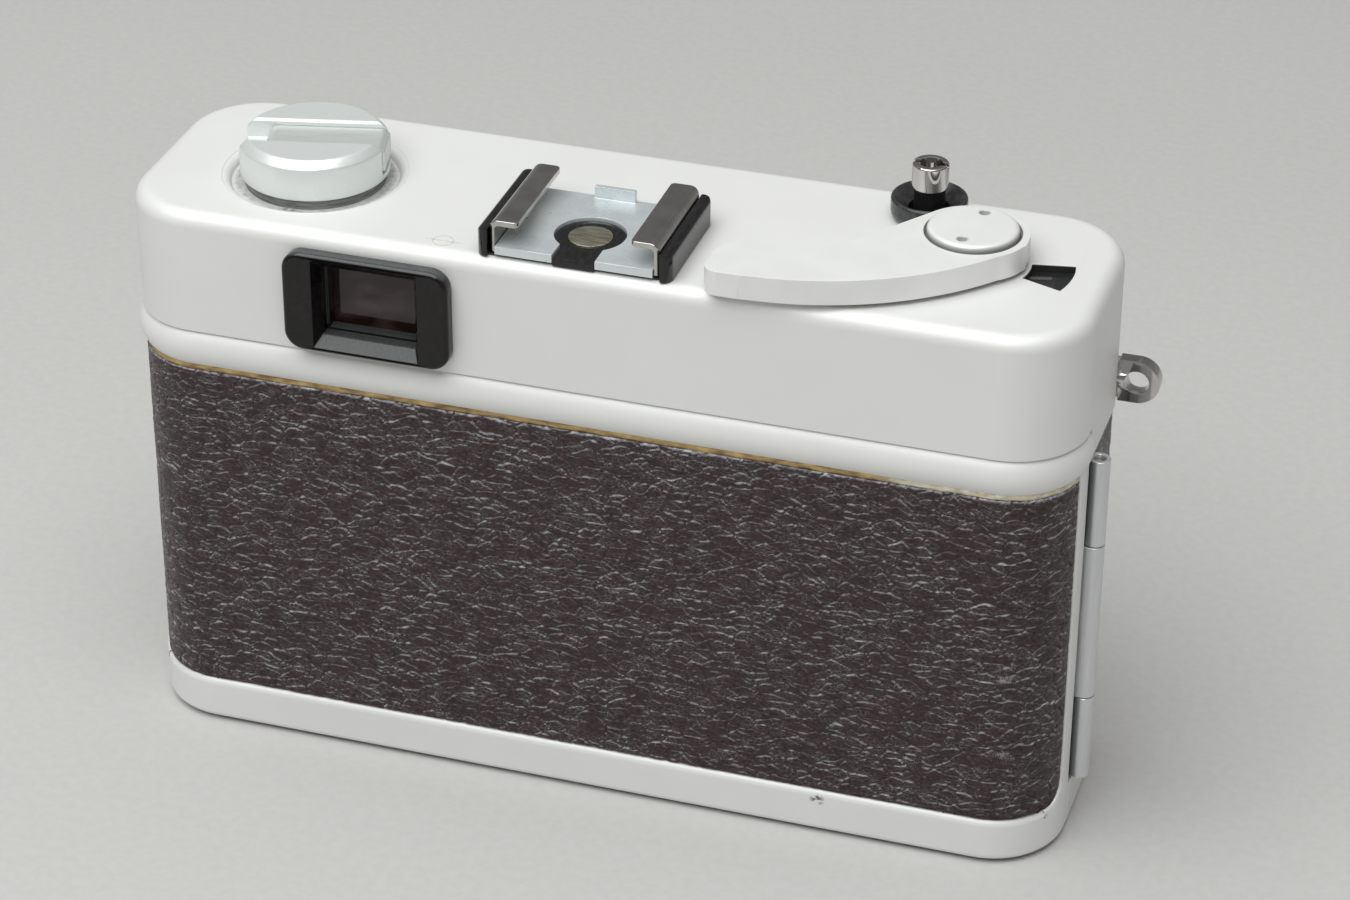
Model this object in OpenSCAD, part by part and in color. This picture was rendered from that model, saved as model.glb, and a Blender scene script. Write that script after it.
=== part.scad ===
/* [Body] */
// Width of the body, left side to right side
body_w = 113.2; // [107:0.1:136]
// Depth of the body without the lens, rear to front
body_d = 31.7; // [31:0.1:38]
// Height of the top face above the base
body_h = 69.6; // [66:0.1:84]
// Corner radius of the body seen from above
corner_r = 9; // [7.5:0.1:10.8]
// Height of the top cover above the rear door
top_h = 15.2; // [14.2:0.1:18]
// Height of the rolled lip along the top of the door
lip_h = 4.5; // [3.75:0.05:5.4]
// How far the lip stands out from the top cover
lip_proud = 0.5; // [0.3:0.05:0.8]
// Height of the metal band round the base
band_h = 6.1; // [5.1:0.1:7.3]
// Sheet thickness of the top cover and the base plate
cover_wall = 0.9; // [0.75:0.05:1.1]
// Radius of the top cover's upper edge
top_edge_r = 1.8; // [1.5:0.1:2.2]
// Thickness of the leatherette
leather_t = 0.6; // [0.5:0.05:0.75]

/* [Rear door] */
// Straight length of the door's sides, ahead of its corners
door_run = 1; // [0.8:0.05:1.2]
// Wall of the door behind its leatherette
door_wall = 0.9; // [0.75:0.05:1.1]
// Width of the bare metal between the leatherette and the door's edge
strip_w = 2.8; // [2.4:0.05:3.4]
// How far the leatherette lies below the metal band
leather_sink = 0.2; // [0.15:0.05:0.25]
// Height of the door's lower edge above the base
door_lift = 0.4; // [0.3:0.05:0.5]
// Hinge barrel radius
barrel_r = 1.25; // [1.1:0.05:1.4]
// Hinge pin radius
pin_r = 0.7; // [0.55:0.05:0.8]

/* [Film path] */
// Distance from the rear face to the film plane
film_inset = 4.6; // [4.4:0.1:5.2]
// Width of the picture, along the film
gate_w = 17; // [14.2:0.1:20]
// Height of the picture, across the film
gate_h = 24; // [20:0.1:28]
// Radius of the film cassette
cassette_r = 12.6; // [10.5:0.1:12.8]
// Radius of the take-up spool's drum
spool_r = 8.1; // [6.8:0.1:9.5]
// Radius at which the film lies on the sprocket
sprocket_r = 6.05; // [5.1:0.05:6.6]

/* [Rewind knob] */
// Distance from the body's left side to the rewind shaft
rewind_inset = 19.4; // [18.6:0.1:22]
// Distance from the rear face to the rewind shaft
rewind_depth = 14.85; // [14:0.05:16]
// Radius of the rewind knob
knob_r = 8.7; // [7.4:0.1:9.6]
// Height of the rewind knob
knob_h = 4.8; // [4.2:0.1:5.8]
// Width of the folding crank
crank_w = 5.1; // [4.3:0.1:6.1]
// Direction in which the folded crank lies
crank_turn = 13.5; // [0:0.5:90]
// Radius of the rewind shaft
shaft_r = 2.5; // [2.1:0.05:2.7]
// How far the knob pulls up to open the door
lift_travel = 6; // [5:0.1:6.5]

/* [Wind lever] */
// Distance from the body's right side to the winding shaft
wind_inset = 16; // [15.8:0.1:18]
// Distance from the rear face to the winding shaft
wind_depth = 16.7; // [16:0.1:17]
// Thickness of the wind lever
lever_t = 3; // [2.5:0.1:3.6]
// Radius of the lever's hub
hub_r = 6.4; // [5.9:0.1:6.6]
// Radius of the cap on the hub
cap_r = 5.2; // [4.4:0.1:5.4]

/* [Shutter release] */
// Radius of the dished collar round the button
collar_r = 4.4; // [3.7:0.1:4.6]
// Height of the collar
collar_h = 2.7; // [2.3:0.1:3.2]
// Radius of the button
button_r = 2.1; // [1.8:0.05:2.5]
// Travel of the button
release_travel = 2; // [1.6:0.1:2.4]

/* [Accessory shoe] */
// Width between the shoe's rails
shoe_w = 18.6; // [15.5:0.1:22]
// Length of the shoe's floor
shoe_len = 15.6; // [13:0.1:18]
// Height from the shoe's floor to its lips
shoe_slot_h = 2.4; // [2:0.1:2.9]
// How far each lip reaches inwards
shoe_lip = 2.7; // [2.2:0.1:3.2]
// Sheet thickness of the rails
rail_t = 0.7; // [0.55:0.05:0.85]

/* [Viewfinder] */
// Width of the eyepiece frame
eye_w = 20; // [18:0.1:21]
// Height of the eyepiece frame
eye_h = 12.4; // [11.6:0.1:12.8]
// How far the eyepiece frame stands out
eye_proud = 1.8; // [1.5:0.1:2.2]

/* [Lens] */
// Radius of the lens flange
flange_r = 20.5; // [20.2:0.1:21]
// Radius of the shutter housing
housing_r = 17.6; // [17:0.1:18.2]
// Radius inside the filter thread
filter_r = 14.9; // [14.2:0.1:15.2]
// Radius of the shutter's light hole
light_r = 6.8; // [5.7:0.1:7.2]

/* [Fits] */
// Radial room of a shaft in its bearing
run_fit = 0.05; // [0.03:0.01:0.08]
// Room between pieces that move past each other
slide_gap = 0.3; // [0.25:0.01:0.36]
// Room between pieces that are fixed together
seat_gap = 0.02; // [0.01:0.01:0.05]
// Room between the door's edges and the body
door_gap = 0.4; // [0.33:0.01:0.48]

/* [Hidden] */
$fn = 64;
EPS = 0.01;
FAR = 200;
// Main levels and planes
rear_y = -body_d / 2;
front_y = body_d / 2;
seam_z = body_h - top_h;
front_seam_z = seam_z - lip_h;
door_edge_y = rear_y + corner_r + door_run;
body_edge_y = door_edge_y + door_gap;
film_y = rear_y + film_inset;
base_t = 1;
deck_t = 2.6;
deck_z = seam_z - door_gap;
floor_z = base_t + 2.8;
ceiling_z = deck_z - deck_t;
under_top_z = body_h - cover_wall;
lens_z = (band_h + front_seam_z) / 2;
gate_rail_h = 0.9;
gate_t = 0.7;
// Door section, measured inwards from the body's outline
door_skin = leather_sink + leather_t;
door_inside = door_skin + door_wall;
door_swing_room = 1.7;
inner_half_w = body_w / 2 - door_inside - door_swing_room;
strip_y = door_edge_y - strip_w;
leather_corner = 3;
lip_round = 3.2;
light_trap_z = [floor_z - 1.9, ceiling_z + 0.6];
light_trap_h = 1.3;
hinge_x = body_w / 2 + 0.7;
hinge_y = door_edge_y + 2.3;
hinge_z = [band_h + 0.5, front_seam_z - 0.3];
leaf_t = 0.8;
knuckle_share = 0.26;
// Rewind side
rewind_x = -body_w / 2 + rewind_inset;
rewind_y = rear_y + rewind_depth;
chamber_r = cassette_r + 0.6;
knob_z = body_h + 0.35;
dish_r = knob_r + 2.2;
dish_depth = 0.9;
dish_round = 1.2;
groove_w = crank_w + 0.2;
groove_depth = 2.4;
crank_t = 1.6;
crank_pin_r = 0.5;
crank_pin_x = -(knob_r - 4);
crank_pin_z = knob_z + knob_h - groove_depth + 0.15 + crank_t / 2;
latch_x = -inner_half_w + 0.8;
latch_y = door_edge_y + 2;
latch_z = deck_z + 2.4;
latch_t = 1.2;
hook_z = ceiling_z - 8.1;
catch_t = 0.7;
catch_h = 5.4;
// Winding side
wind_x = body_w / 2 - wind_inset;
wind_y = rear_y + wind_depth;
wind_shaft_r = 2.5;
spool_chamber_r = 12;
lever_z = body_h + 0.6;
tip_r = 4.1;
tip_at = [-22, -13.8];
heel_r = 1.6;
front_slope = 55;
back_arc_r = 33.4;
back_arc_at = [-22.3, 15.6];
sprocket_x = wind_x - 18.8;
sprocket_y = film_y + sprocket_r;
sprocket_shaft_r = 1.5;
perforation_rows = 28.2;
bay_room = 1.7;
button_boss_r = 4.6;
// Planes at which the casting is parted
left_part_x = rewind_x + chamber_r + 2.6;
right_part_x = wind_x - spool_chamber_r - 1.3;
// Gear train between the winding shaft and the sprocket
gear_module = 0.5;
wind_teeth = 36;
idler_teeth = 20;
sprocket_teeth = 26;
gear_z = deck_z + 3;
gear_t = 1.5;
train = [sprocket_x - wind_x, sprocket_y - wind_y];
train_d = norm(train);
to_idler = gear_module * (wind_teeth + idler_teeth) / 2;
from_idler = gear_module * (idler_teeth + sprocket_teeth) / 2;
train_turn = atan2(train[1], train[0]);
idler_lean = acos((to_idler ^ 2 + train_d ^ 2 - from_idler ^ 2) / (2 * to_idler * train_d));
idler_turn = train_turn - idler_lean;
idler_x = wind_x + to_idler * cos(idler_turn);
idler_y = wind_y + to_idler * sin(idler_turn);
last_turn = atan2(sprocket_y - idler_y, sprocket_x - idler_x);
idler_phase = idler_turn + 180 + 180 / idler_teeth;
idler_slip = (last_turn - idler_phase) * idler_teeth / sprocket_teeth;
sprocket_phase = last_turn + 180 + 180 / sprocket_teeth + idler_slip;
idler_stud_r = 1.2;
// Frame counter
counter_r = 9.4;
counter_z = under_top_z - 2;
window_r = [6.7, 11.6];
window_turn = [-20, 11];
// Shutter release
release_x = wind_x - 7.2;
release_y = wind_y + 8.85;
release_stem_r = 1.4;
release_rod_r = 0.9;
release_rod_y = release_y + 3;
release_arm_z = deck_z + 8;
rod_reach = 4.5;
button_z = body_h + 3.9;
button_h = 3;
// Accessory shoe
shoe_x = -0.94;
shoe_y = rear_y + 0.95;
shoe_floor_z = body_h + 0.35;
shoe_floor_t = 1;
shoe_outer = shoe_w / 2 + rail_t;
flank_t = 1.4;
shoe_fit = 0.05;
shoe_key_w = 5;
shoe_hole_r = 4.1;
shoe_hole_y = shoe_y + 6.2;
contact_r = 2.55;
// Viewfinder
vf_x = rewind_x + 12.2;
vf_z = seam_z + top_h / 2 - 0.5;
eye_round = 2.3;
eye_edge = 0.6;
eye_open_w = 12.8;
eye_open_h = eye_h - 1;
eye_sill = 1.4;
eye_step = 0.35;
eye_step_y = 2.6;
glass_w = 10.6;
glass_h = 8;
vf_tube_w = 14.2;
vf_tube_h = top_h - 4.8;
vf_wall = 0.9;
bezel_w = 17.5;
bezel_h = 11.4;
bezel_proud = 0.7;
// Lens, measured forward from the body's front face
flange_t = 1.6;
housing_len = 12.5;
tube_r = 14.4;
ring_bore = housing_r + slide_gap;
exposure_y = front_y + flange_t + 0.4;
exposure_w = 4.4;
exposure_r = ring_bore + 2.1;
focus_y = exposure_y + exposure_w + 0.5;
focus_w = 5.6;
focus_r = ring_bore + 1.3;
cell_r = housing_r - 1.4;
cell_y = front_y + 6.6;
cell_len = 9.8;
bezel_y = cell_y + 5.5;
lens_bezel_t = 1.8;
blade_wall_y = front_y + 2.6;
blade_t = 0.3;
blade_pivot = 12;
blade_pivot_r = 0.8;
blade_room_r = housing_r - 1.6;
front_glass_r = 9.2;
rear_glass_r = 7.4;
// Base
socket_r = 5;
socket_h = 7;
socket_thread_r = 2.55;
socket_depth = 5.5;
lug_r = 2.65;
lug_hole_r = 1.4;
lug_t = 1.8;
lug_stud_len = 4.6;
lug_y = front_y - 6.75;
lug_z = front_seam_z + 3.2;
lug_x = body_w / 2 + 2.2;
base_screw_at = [[-body_w / 2 + 9, 8], [body_w / 2 - 9, 8], [-body_w / 2 + 42, -9]];

// A profile carried once round a rectangle with round corners; x = r lies on its outline
module carried_round(w, d, r) {
    x = w / 2 - r;
    y = d / 2 - r;
    for (half = [0, 180])
        rotate(half) {
            translate([x, y, 0]) rotate_extrude(angle = 90) children();
            translate([-x, y, 0]) rotate(90) rotate_extrude(angle = 90) children();
            translate([-x, y, 0]) rotate([90, 0, 90]) linear_extrude(2 * x) children();
            translate([x, y, 0]) rotate([90, 0, 0]) linear_extrude(2 * y) children();
        }
}

// A profile carried once round the body's outline; x = corner_r lies on the outline
module round_body() carried_round(body_w, body_d, corner_r) children();

// The body's outline drawn in by inset
module outline(inset) {
    r = corner_r - inset;
    square([body_w - 2 * inset, body_d - 2 * corner_r], center = true);
    square([body_w - 2 * corner_r, body_d - 2 * inset], center = true);
    for (x = [-1, 1], y = [-1, 1])
        translate([x * (body_w / 2 - corner_r), y * (front_y - corner_r)]) circle(r);
}

// A rectangle with round corners, centred
module round_rect(w, h, r) {
    square([w, h - 2 * r], center = true);
    square([w - 2 * r, h], center = true);
    for (x = [-1, 1], y = [-1, 1])
        translate([x * (w / 2 - r), y * (h / 2 - r)]) circle(r);
}

// Everything behind or in front of a plane across the depth
module behind(y) translate([-FAR, y - 2 * FAR, -FAR]) cube(2 * FAR);
module ahead_of(y) translate([-FAR, y, -FAR]) cube(2 * FAR);

// A flat shape stood up across the depth: its x is the body's x, its y is the height
module stand(y, t) translate([0, y + t, 0]) rotate([90, 0, 0]) linear_extrude(t) children();

// A round piece along the lens axis, starting at y
module on_axis(y) translate([0, y, lens_z]) rotate([-90, 0, 0]) children();

module disc_on_axis(r, y, t) on_axis(y) cylinder(r = r, h = t);

// A ring sector seen from above
module fan(r_in, r_out, from, to) {
    reach = 2 * r_out;
    intersection() {
        difference() {
            circle(r_out);
            circle(r_in);
        }
        polygon([[0, 0], [reach * cos(from), reach * sin(from)], [reach * cos(to), reach * sin(to)]]);
    }
}

// Spur gear outline with involute flanks
function involute(a) = tan(a) * 180 / PI - a;
function flank_at(r, base_r) = r > base_r ? involute(acos(base_r / r)) : 0;
module gear_outline(teeth, backlash = 0.12) {
    pitch_r = gear_module * teeth / 2;
    base_r = pitch_r * cos(20);
    half = 90 / teeth - backlash / pitch_r * 90 / PI + involute(20);
    radii = [pitch_r - 1.25 * gear_module, pitch_r - 0.4 * gear_module, pitch_r,
        pitch_r + 0.5 * gear_module, pitch_r + 0.9 * gear_module];
    up = [for (r = radii) [r, flank_at(r, base_r) - half]];
    down = [for (i = [len(radii) - 1 : -1 : 0]) [radii[i], half - flank_at(radii[i], base_r)]];
    polygon([for (i = [0 : teeth - 1], p = concat(up, down))
        p[0] * [cos(i * 360 / teeth + p[1]), sin(i * 360 / teeth + p[1])]]);
}

// A finely ribbed disc outline
module ribbed(r, count, depth) {
    step = 360 / count;
    polygon([for (i = [0 : count - 1], p = [[0, 0], [0.5, 0], [0.6, depth], [0.9, depth]])
        (r - p[1]) * [cos((i + p[0]) * step), sin((i + p[0]) * step)]]);
}

// Main casting with the film chambers, picture tunnel and bearing decks, before it is parted
module casting() {
    difference() {
        union() {
            intersection() {
                union() {
                    translate([0, 0, band_h + EPS])
                        linear_extrude(front_seam_z - band_h - 2 * EPS) outline(leather_t + seat_gap);
                    translate([0, 0, base_t])
                        linear_extrude(deck_z - base_t) outline(cover_wall + 0.1);
                }
                ahead_of(body_edge_y);
            }
            intersection() {
                translate([0, 0, base_t])
                    linear_extrude(deck_z - base_t) outline(door_inside + door_swing_room);
                union() {
                    ahead_of(film_y + gate_rail_h);
                    translate([0, 0, ceiling_z + FAR]) cube(2 * FAR, center = true);
                    translate([0, 0, floor_z - FAR]) cube(2 * FAR, center = true);
                }
            }
        }
        difference() {
            film_spaces();
            translate([sprocket_x, sprocket_y, floor_z - EPS]) cylinder(r = button_boss_r, h = 4.2);
        }
        picture_tunnel();
        chassis_bearings();
        for (z = light_trap_z)
            translate([-FAR, film_y - 3, z]) cube([2 * FAR, 3.2, light_trap_h]);
        hinge_recess();
        latch_slot();
    }
}

// One block of the casting, between two upright planes
module casting_block(from, to) {
    color([0.16, 0.16, 0.17])
        intersection() {
            casting();
            translate([from, -FAR / 2, -FAR / 2]) cube([to - from, FAR, FAR]);
        }
}

// Middle block: picture tunnel, sprocket bay and the idler's stud
module chassis() {
    casting_block(left_part_x, right_part_x);
    color([0.16, 0.16, 0.17])
        translate([idler_x, idler_y, deck_z]) cylinder(r = idler_stud_r, h = gear_z + gear_t - deck_z);
}

module cassette_block() casting_block(-FAR / 2, left_part_x);

// Right block, with the pivot that carries the foot of the spool
module take_up_block() {
    casting_block(right_part_x, FAR / 2);
    color([0.16, 0.16, 0.17])
        translate([wind_x, wind_y, floor_z - EPS]) cylinder(r = 1.5, h = 2.6);
}

// Cassette chamber, take-up chamber and sprocket bay, open to the rear
module film_spaces() {
    h = ceiling_z - floor_z;
    for (c = [[rewind_x, rewind_y, chamber_r], [wind_x, wind_y, spool_chamber_r]])
        translate([c[0], c[1], floor_z]) {
            cylinder(r = c[2], h = h);
            translate([-c[2], -FAR, 0]) cube([2 * c[2], FAR, h]);
        }
    translate([sprocket_x, sprocket_y, floor_z]) {
        cylinder(r = sprocket_r + bay_room, h = h);
        translate([-sprocket_r - bay_room, -FAR, 0]) cube([wind_x - sprocket_x, FAR, h]);
    }
}

// Dark space between the lens and the picture gate
module picture_tunnel() {
    stand(film_y - EPS, front_y - film_y - 4)
        translate([0, lens_z]) square([gate_w + 3, gate_h + 3], center = true);
    stand(film_y - EPS, gate_rail_h + gate_t + seat_gap + EPS)
        translate([0, lens_z])
            square([gate_plate_w() + 2 * seat_gap, gate_plate_h() + 2 * seat_gap], center = true);
    disc_on_axis(tube_r + 0.1, front_y - 9, 20);
}

function gate_plate_w() = 2 * (sprocket_x - sprocket_r - bay_room);
function gate_plate_h() = gate_h + 12.4;

module chassis_bearings() {
    for (b = [[rewind_x, rewind_y, shaft_r], [wind_x, wind_y, wind_shaft_r],
        [sprocket_x, sprocket_y, sprocket_shaft_r]])
        translate([b[0], b[1], ceiling_z - 1]) cylinder(r = b[2] + run_fit, h = deck_t + 2);
    translate([sprocket_x, sprocket_y, base_t - 1]) cylinder(r = sprocket_shaft_r + run_fit, h = 10);
    translate([sprocket_x, sprocket_y, base_t - 1]) cylinder(r = 3.5, h = 5.2);
    translate([0, 0, base_t - 1])
        cylinder(r = socket_r + seat_gap, h = socket_h - base_t + 1 + seat_gap);
    translate([release_x, release_rod_y, deck_z - rod_reach - release_travel - 0.5])
        cylinder(r = release_rod_r + run_fit, h = rod_reach + release_travel + 2);
    for (p = base_screw_at)
        translate([p[0], p[1], 0]) cylinder(r = 0.8 + seat_gap, h = floor_z - 0.3);
    for (side = [-1, 1])
        translate([side * lug_x, lug_y, lug_z])
            rotate([0, -side * 90, 0])
                cylinder(r = lug_stud_r() + seat_gap, h = lug_stud_len + seat_gap);
}

// Notch in the casting's right rear corner for the two hinge leaves
module hinge_recess() {
    translate([body_w / 2 - door_inside - leaf_t - slide_gap, body_edge_y - FAR, band_h])
        cube([FAR, FAR + hinge_y - body_edge_y + barrel_r + 0.1, front_seam_z - band_h]);
    translate([body_w / 2 - leather_t - leaf_t - 2 * seat_gap, hinge_y, hinge_z[0] - 0.1])
        cube([FAR, 7.1, hinge_z[1] - hinge_z[0] + 0.2]);
}

// Slot for the latch bar in the left wall, with a side window for its hook
module latch_slot() {
    skin_x = -body_w / 2 + door_inside - slide_gap;
    translate([latch_x - latch_t / 2 - slide_gap, latch_y - 1.5 - slide_gap, hook_z - 4 - slide_gap])
        cube([latch_t + 2 * slide_gap, 3 + 2 * slide_gap, FAR]);
    translate([skin_x, latch_y - 1.5 - slide_gap, hook_z - slide_gap])
        cube([latch_x - skin_x, 3 + 2 * slide_gap, 2 + lift_travel + 2 * slide_gap]);
    translate([skin_x, body_edge_y - 1, hook_z - catch_h - 2 * slide_gap])
        cube([catch_t + slide_gap + 1, latch_y + 3.6 - body_edge_y, catch_h + 2 * slide_gap]);
}

// Blackened plate with the upright half size opening and the film rails
module film_gate() {
    color([0.1, 0.1, 0.11])
        difference() {
            union() {
                stand(film_y + gate_rail_h, gate_t)
                    translate([0, lens_z]) square([gate_plate_w(), gate_plate_h()], center = true);
                for (side = [-1, 1]) {
                    stand(film_y, gate_rail_h + EPS)
                        translate([0, lens_z + side * (gate_h / 2 + 1)])
                            square([gate_plate_w(), 0.8], center = true);
                    stand(film_y - 0.2, gate_rail_h + 0.2 + EPS)
                        translate([0, lens_z + side * (gate_h / 2 + 5.6)])
                            square([gate_plate_w(), 1], center = true);
                }
            }
            stand(film_y - 1, 4) translate([0, lens_z]) square([gate_w, gate_h], center = true);
        }
}

// Pressed top cover with rounded edges, knob dish and cut-outs
module top_cover() {
    color([0.86, 0.87, 0.86])
        difference() {
            union() {
                round_body() cover_section();
                translate([-body_w / 2 + corner_r, -front_y + corner_r, under_top_z])
                    cube([body_w - 2 * corner_r, body_d - 2 * corner_r, cover_wall]);
                translate([rewind_x, rewind_y, under_top_z - dish_depth])
                    cylinder(r = dish_r + 0.2, h = dish_depth + 0.2);
            }
            translate([0, 0, front_seam_z - 1])
                intersection() {
                    behind(body_edge_y);
                    translate([-FAR, -FAR, 0]) cube([2 * FAR, 2 * FAR, lip_h + 1]);
                }
            translate([rewind_x, rewind_y, 0]) rotate_extrude() knob_dish();
            translate([rewind_x, rewind_y, 0]) cylinder(r = shaft_r + slide_gap, h = FAR);
            translate([wind_x, wind_y, 0]) cylinder(r = wind_shaft_r + slide_gap, h = FAR);
            translate([release_x, release_y, 0]) cylinder(r = collar_neck_r() + seat_gap, h = FAR);
            translate([wind_x, wind_y, under_top_z - 1])
                linear_extrude(10) fan(window_r[0], window_r[1], window_turn[0], window_turn[1]);
            stand(rear_y - 1, 4)
                translate([vf_x, vf_z])
                    round_rect(eye_neck_w() + 2 * seat_gap, eye_neck_h() + 2 * seat_gap, 1);
            stand(front_y - 3, 4)
                translate([vf_x, vf_z])
                    round_rect(bezel_neck_w() + 2 * seat_gap, bezel_neck_h() + 2 * seat_gap, 1);
            for (side = [-1, 1])
                translate([side * body_w / 2, lug_y, lug_z])
                    rotate([0, 90, 0]) cylinder(r = lug_stud_r() + seat_gap, h = 10, center = true);
        }
}

module cover_section() {
    edge = corner_r - top_edge_r;
    translate([corner_r - cover_wall, front_seam_z])
        square([cover_wall, body_h - top_edge_r - front_seam_z]);
    translate([0, under_top_z]) square([edge, cover_wall]);
    translate([edge, body_h - top_edge_r])
        intersection() {
            difference() {
                circle(top_edge_r);
                circle(top_edge_r - cover_wall);
            }
            square(top_edge_r);
        }
}

// Half section of the shallow dish under the rewind knob
module knob_dish() {
    difference() {
        translate([0, body_h - dish_depth]) square([dish_r, dish_depth + 1]);
        translate([dish_r, body_h - dish_round - 0.05]) circle(dish_round);
    }
}

// Base tray: it closes the front and sides, and lies inside the door at the rear
module base_plate() {
    color([0.84, 0.85, 0.84])
        difference() {
            union() {
                intersection() {
                    union() {
                        round_body() base_section();
                        translate([-body_w / 2 + corner_r, -front_y + corner_r, 0])
                            cube([body_w - 2 * corner_r, body_d - 2 * corner_r, base_t]);
                    }
                    ahead_of(body_edge_y);
                }
                linear_extrude(base_t)
                    intersection() {
                        outline(door_inside + door_swing_room);
                        translate([-FAR, -FAR]) square([2 * FAR, FAR + body_edge_y + 1]);
                    }
            }
            translate([0, 0, -1]) cylinder(r = socket_r + seat_gap, h = 3);
            translate([sprocket_x, sprocket_y, -1]) cylinder(r = 2.4 + slide_gap, h = 3);
            for (p = base_screw_at) {
                translate([p[0], p[1], -1]) cylinder(r = 0.8 + slide_gap, h = 3);
                translate([p[0], p[1], -1]) cylinder(r = 1.7, h = 1.6);
            }
        }
}

module base_section() {
    round = 1;
    translate([corner_r - cover_wall, round]) square([cover_wall, band_h - round - seat_gap]);
    square([corner_r - round, base_t]);
    translate([corner_r - round, round])
        intersection() {
            circle(round);
            translate([0, -round]) square(round);
        }
}

// Front covering, cut round the lens flange
module front_leatherette() {
    color([0.06, 0.06, 0.06])
        difference() {
            intersection() {
                round_body()
                    translate([corner_r - leather_t, band_h + 0.1])
                        square([leather_t, front_seam_z - band_h - 0.2]);
                union() {
                    ahead_of(hinge_y + barrel_r + 0.4);
                    translate([-FAR, body_edge_y + 0.2, 0]) cube(FAR);
                }
            }
            disc_on_axis(flange_r + 0.2, 0, 40);
        }
}

// Section of the door's wall with its rolled lip and its base band
module door_section() {
    top = seam_z - 0.15;
    wall = corner_r - door_inside;
    band_r = 0.9;
    flange = door_swing_room - 0.6;
    translate([wall, door_lift]) square([door_wall, top - door_lift - 1]);
    intersection() {
        translate([corner_r + lip_proud - lip_round, (top + front_seam_z) / 2]) circle(lip_round);
        translate([wall, front_seam_z]) square([FAR, top - front_seam_z]);
    }
    translate([wall, door_lift]) square([door_inside - band_r, band_h - door_lift]);
    translate([wall, door_lift + band_r]) square([door_inside, band_h - door_lift - 2 * band_r]);
    for (z = [door_lift + band_r, band_h - band_r])
        translate([corner_r - band_r, z]) circle(band_r);
    translate([wall - flange, door_lift]) square([flange + EPS, 0.7]);
}

// Section of the bare upright strip beside the leatherette
module strip_section() {
    translate([corner_r - door_skin - 0.3, band_h - 1.4])
        square([door_skin + 0.3 - seat_gap, front_seam_z - band_h + 2]);
}

// Lower corner of the strip, where it rounds off the covering
module strip_corner(r) {
    difference() {
        translate([-FAR / 2, strip_y - leather_corner, band_h - 1])
            cube([FAR, leather_corner + 0.3, leather_corner + 1]);
        translate([-FAR / 2, strip_y - leather_corner, band_h + leather_corner])
            rotate([0, 90, 0]) cylinder(r = r, h = FAR);
    }
}

module door_cover_section() {
    translate([corner_r - door_skin + seat_gap, band_h + 0.05])
        square([leather_t - seat_gap, front_seam_z - band_h - 0.1]);
}

// A profile carried round the rear of the body, from one edge of the door to the other
module round_door() {
    for (side = [-1, 1])
        translate([side * (body_w / 2 - corner_r), rear_y + corner_r, 0])
            rotate(side > 0 ? -90 : 180) rotate_extrude(angle = 90) children();
    translate([body_w / 2 - corner_r, rear_y + corner_r, 0])
        rotate([90, 0, -90]) linear_extrude(body_w - 2 * corner_r) children();
    translate([body_w / 2 - corner_r, door_edge_y, 0])
        rotate([90, 0, 0]) linear_extrude(door_run) children();
    translate([-body_w / 2 + corner_r, rear_y + corner_r, 0])
        rotate([90, 0, 180]) linear_extrude(door_run) children();
}

// Rear door pressed from one sheet, with light-trap ribs inside
module rear_door() {
    color([0.86, 0.87, 0.86]) {
        round_door() door_section();
        intersection() {
            round_door() strip_section();
            union() {
                ahead_of(strip_y);
                strip_corner(leather_corner);
            }
        }
        for (z = light_trap_z)
            translate([-inner_half_w + 3, rear_y + door_inside - EPS, z + 0.25])
                cube([2 * inner_half_w - 6, film_inset - door_inside - 0.1, light_trap_h - 0.5]);
    }
}

// Covering of the door, sunk between lip and band
module door_leatherette() {
    color([0.05, 0.05, 0.05])
        difference() {
            intersection() {
                round_door() door_cover_section();
                behind(strip_y - 0.05);
            }
            strip_corner(leather_corner - 0.05);
        }
}

// Barrel knuckle of the hinge, bored for the pin
module knuckle(from, to) {
    translate([hinge_x, hinge_y, from]) cylinder(r = barrel_r, h = to - from);
}

function knuckle_split(i) =
    hinge_z[0] + (i == 0 ? knuckle_share : 1 - knuckle_share) * (hinge_z[1] - hinge_z[0]);

// Hinge leaf on the door: the middle knuckle
module door_hinge_leaf() {
    from = knuckle_split(0) + 0.1;
    to = knuckle_split(1) - 0.1;
    inside = body_w / 2 - door_inside;
    color([0.8, 0.8, 0.79])
        difference() {
            union() {
                knuckle(from, to);
                translate([inside - leaf_t, hinge_y - barrel_r, from])
                    cube([hinge_x - inside + leaf_t, leaf_t, to - from]);
                translate([inside - leaf_t, rear_y + corner_r, from])
                    cube([leaf_t, hinge_y - barrel_r + leaf_t - rear_y - corner_r, to - from]);
            }
            translate([hinge_x, hinge_y, 0]) cylinder(r = pin_r + run_fit, h = FAR);
        }
}

// Hinge leaf on the body: the upper and lower knuckles, tucked under the covering
module body_hinge_leaf() {
    side = body_w / 2 - leather_t - seat_gap;
    color([0.8, 0.8, 0.79])
        difference() {
            union() {
                for (span = [[hinge_z[0], knuckle_split(0)], [knuckle_split(1), hinge_z[1]]]) {
                    knuckle(span[0], span[1]);
                    translate([side - leaf_t, hinge_y + barrel_r - leaf_t, span[0]])
                        cube([hinge_x - side + leaf_t, leaf_t, span[1] - span[0]]);
                }
                translate([side - leaf_t, hinge_y + barrel_r - leaf_t, hinge_z[0]])
                    cube([leaf_t, 6.2, hinge_z[1] - hinge_z[0]]);
            }
            translate([hinge_x, hinge_y, 0]) cylinder(r = pin_r + seat_gap, h = FAR);
        }
}

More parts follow.
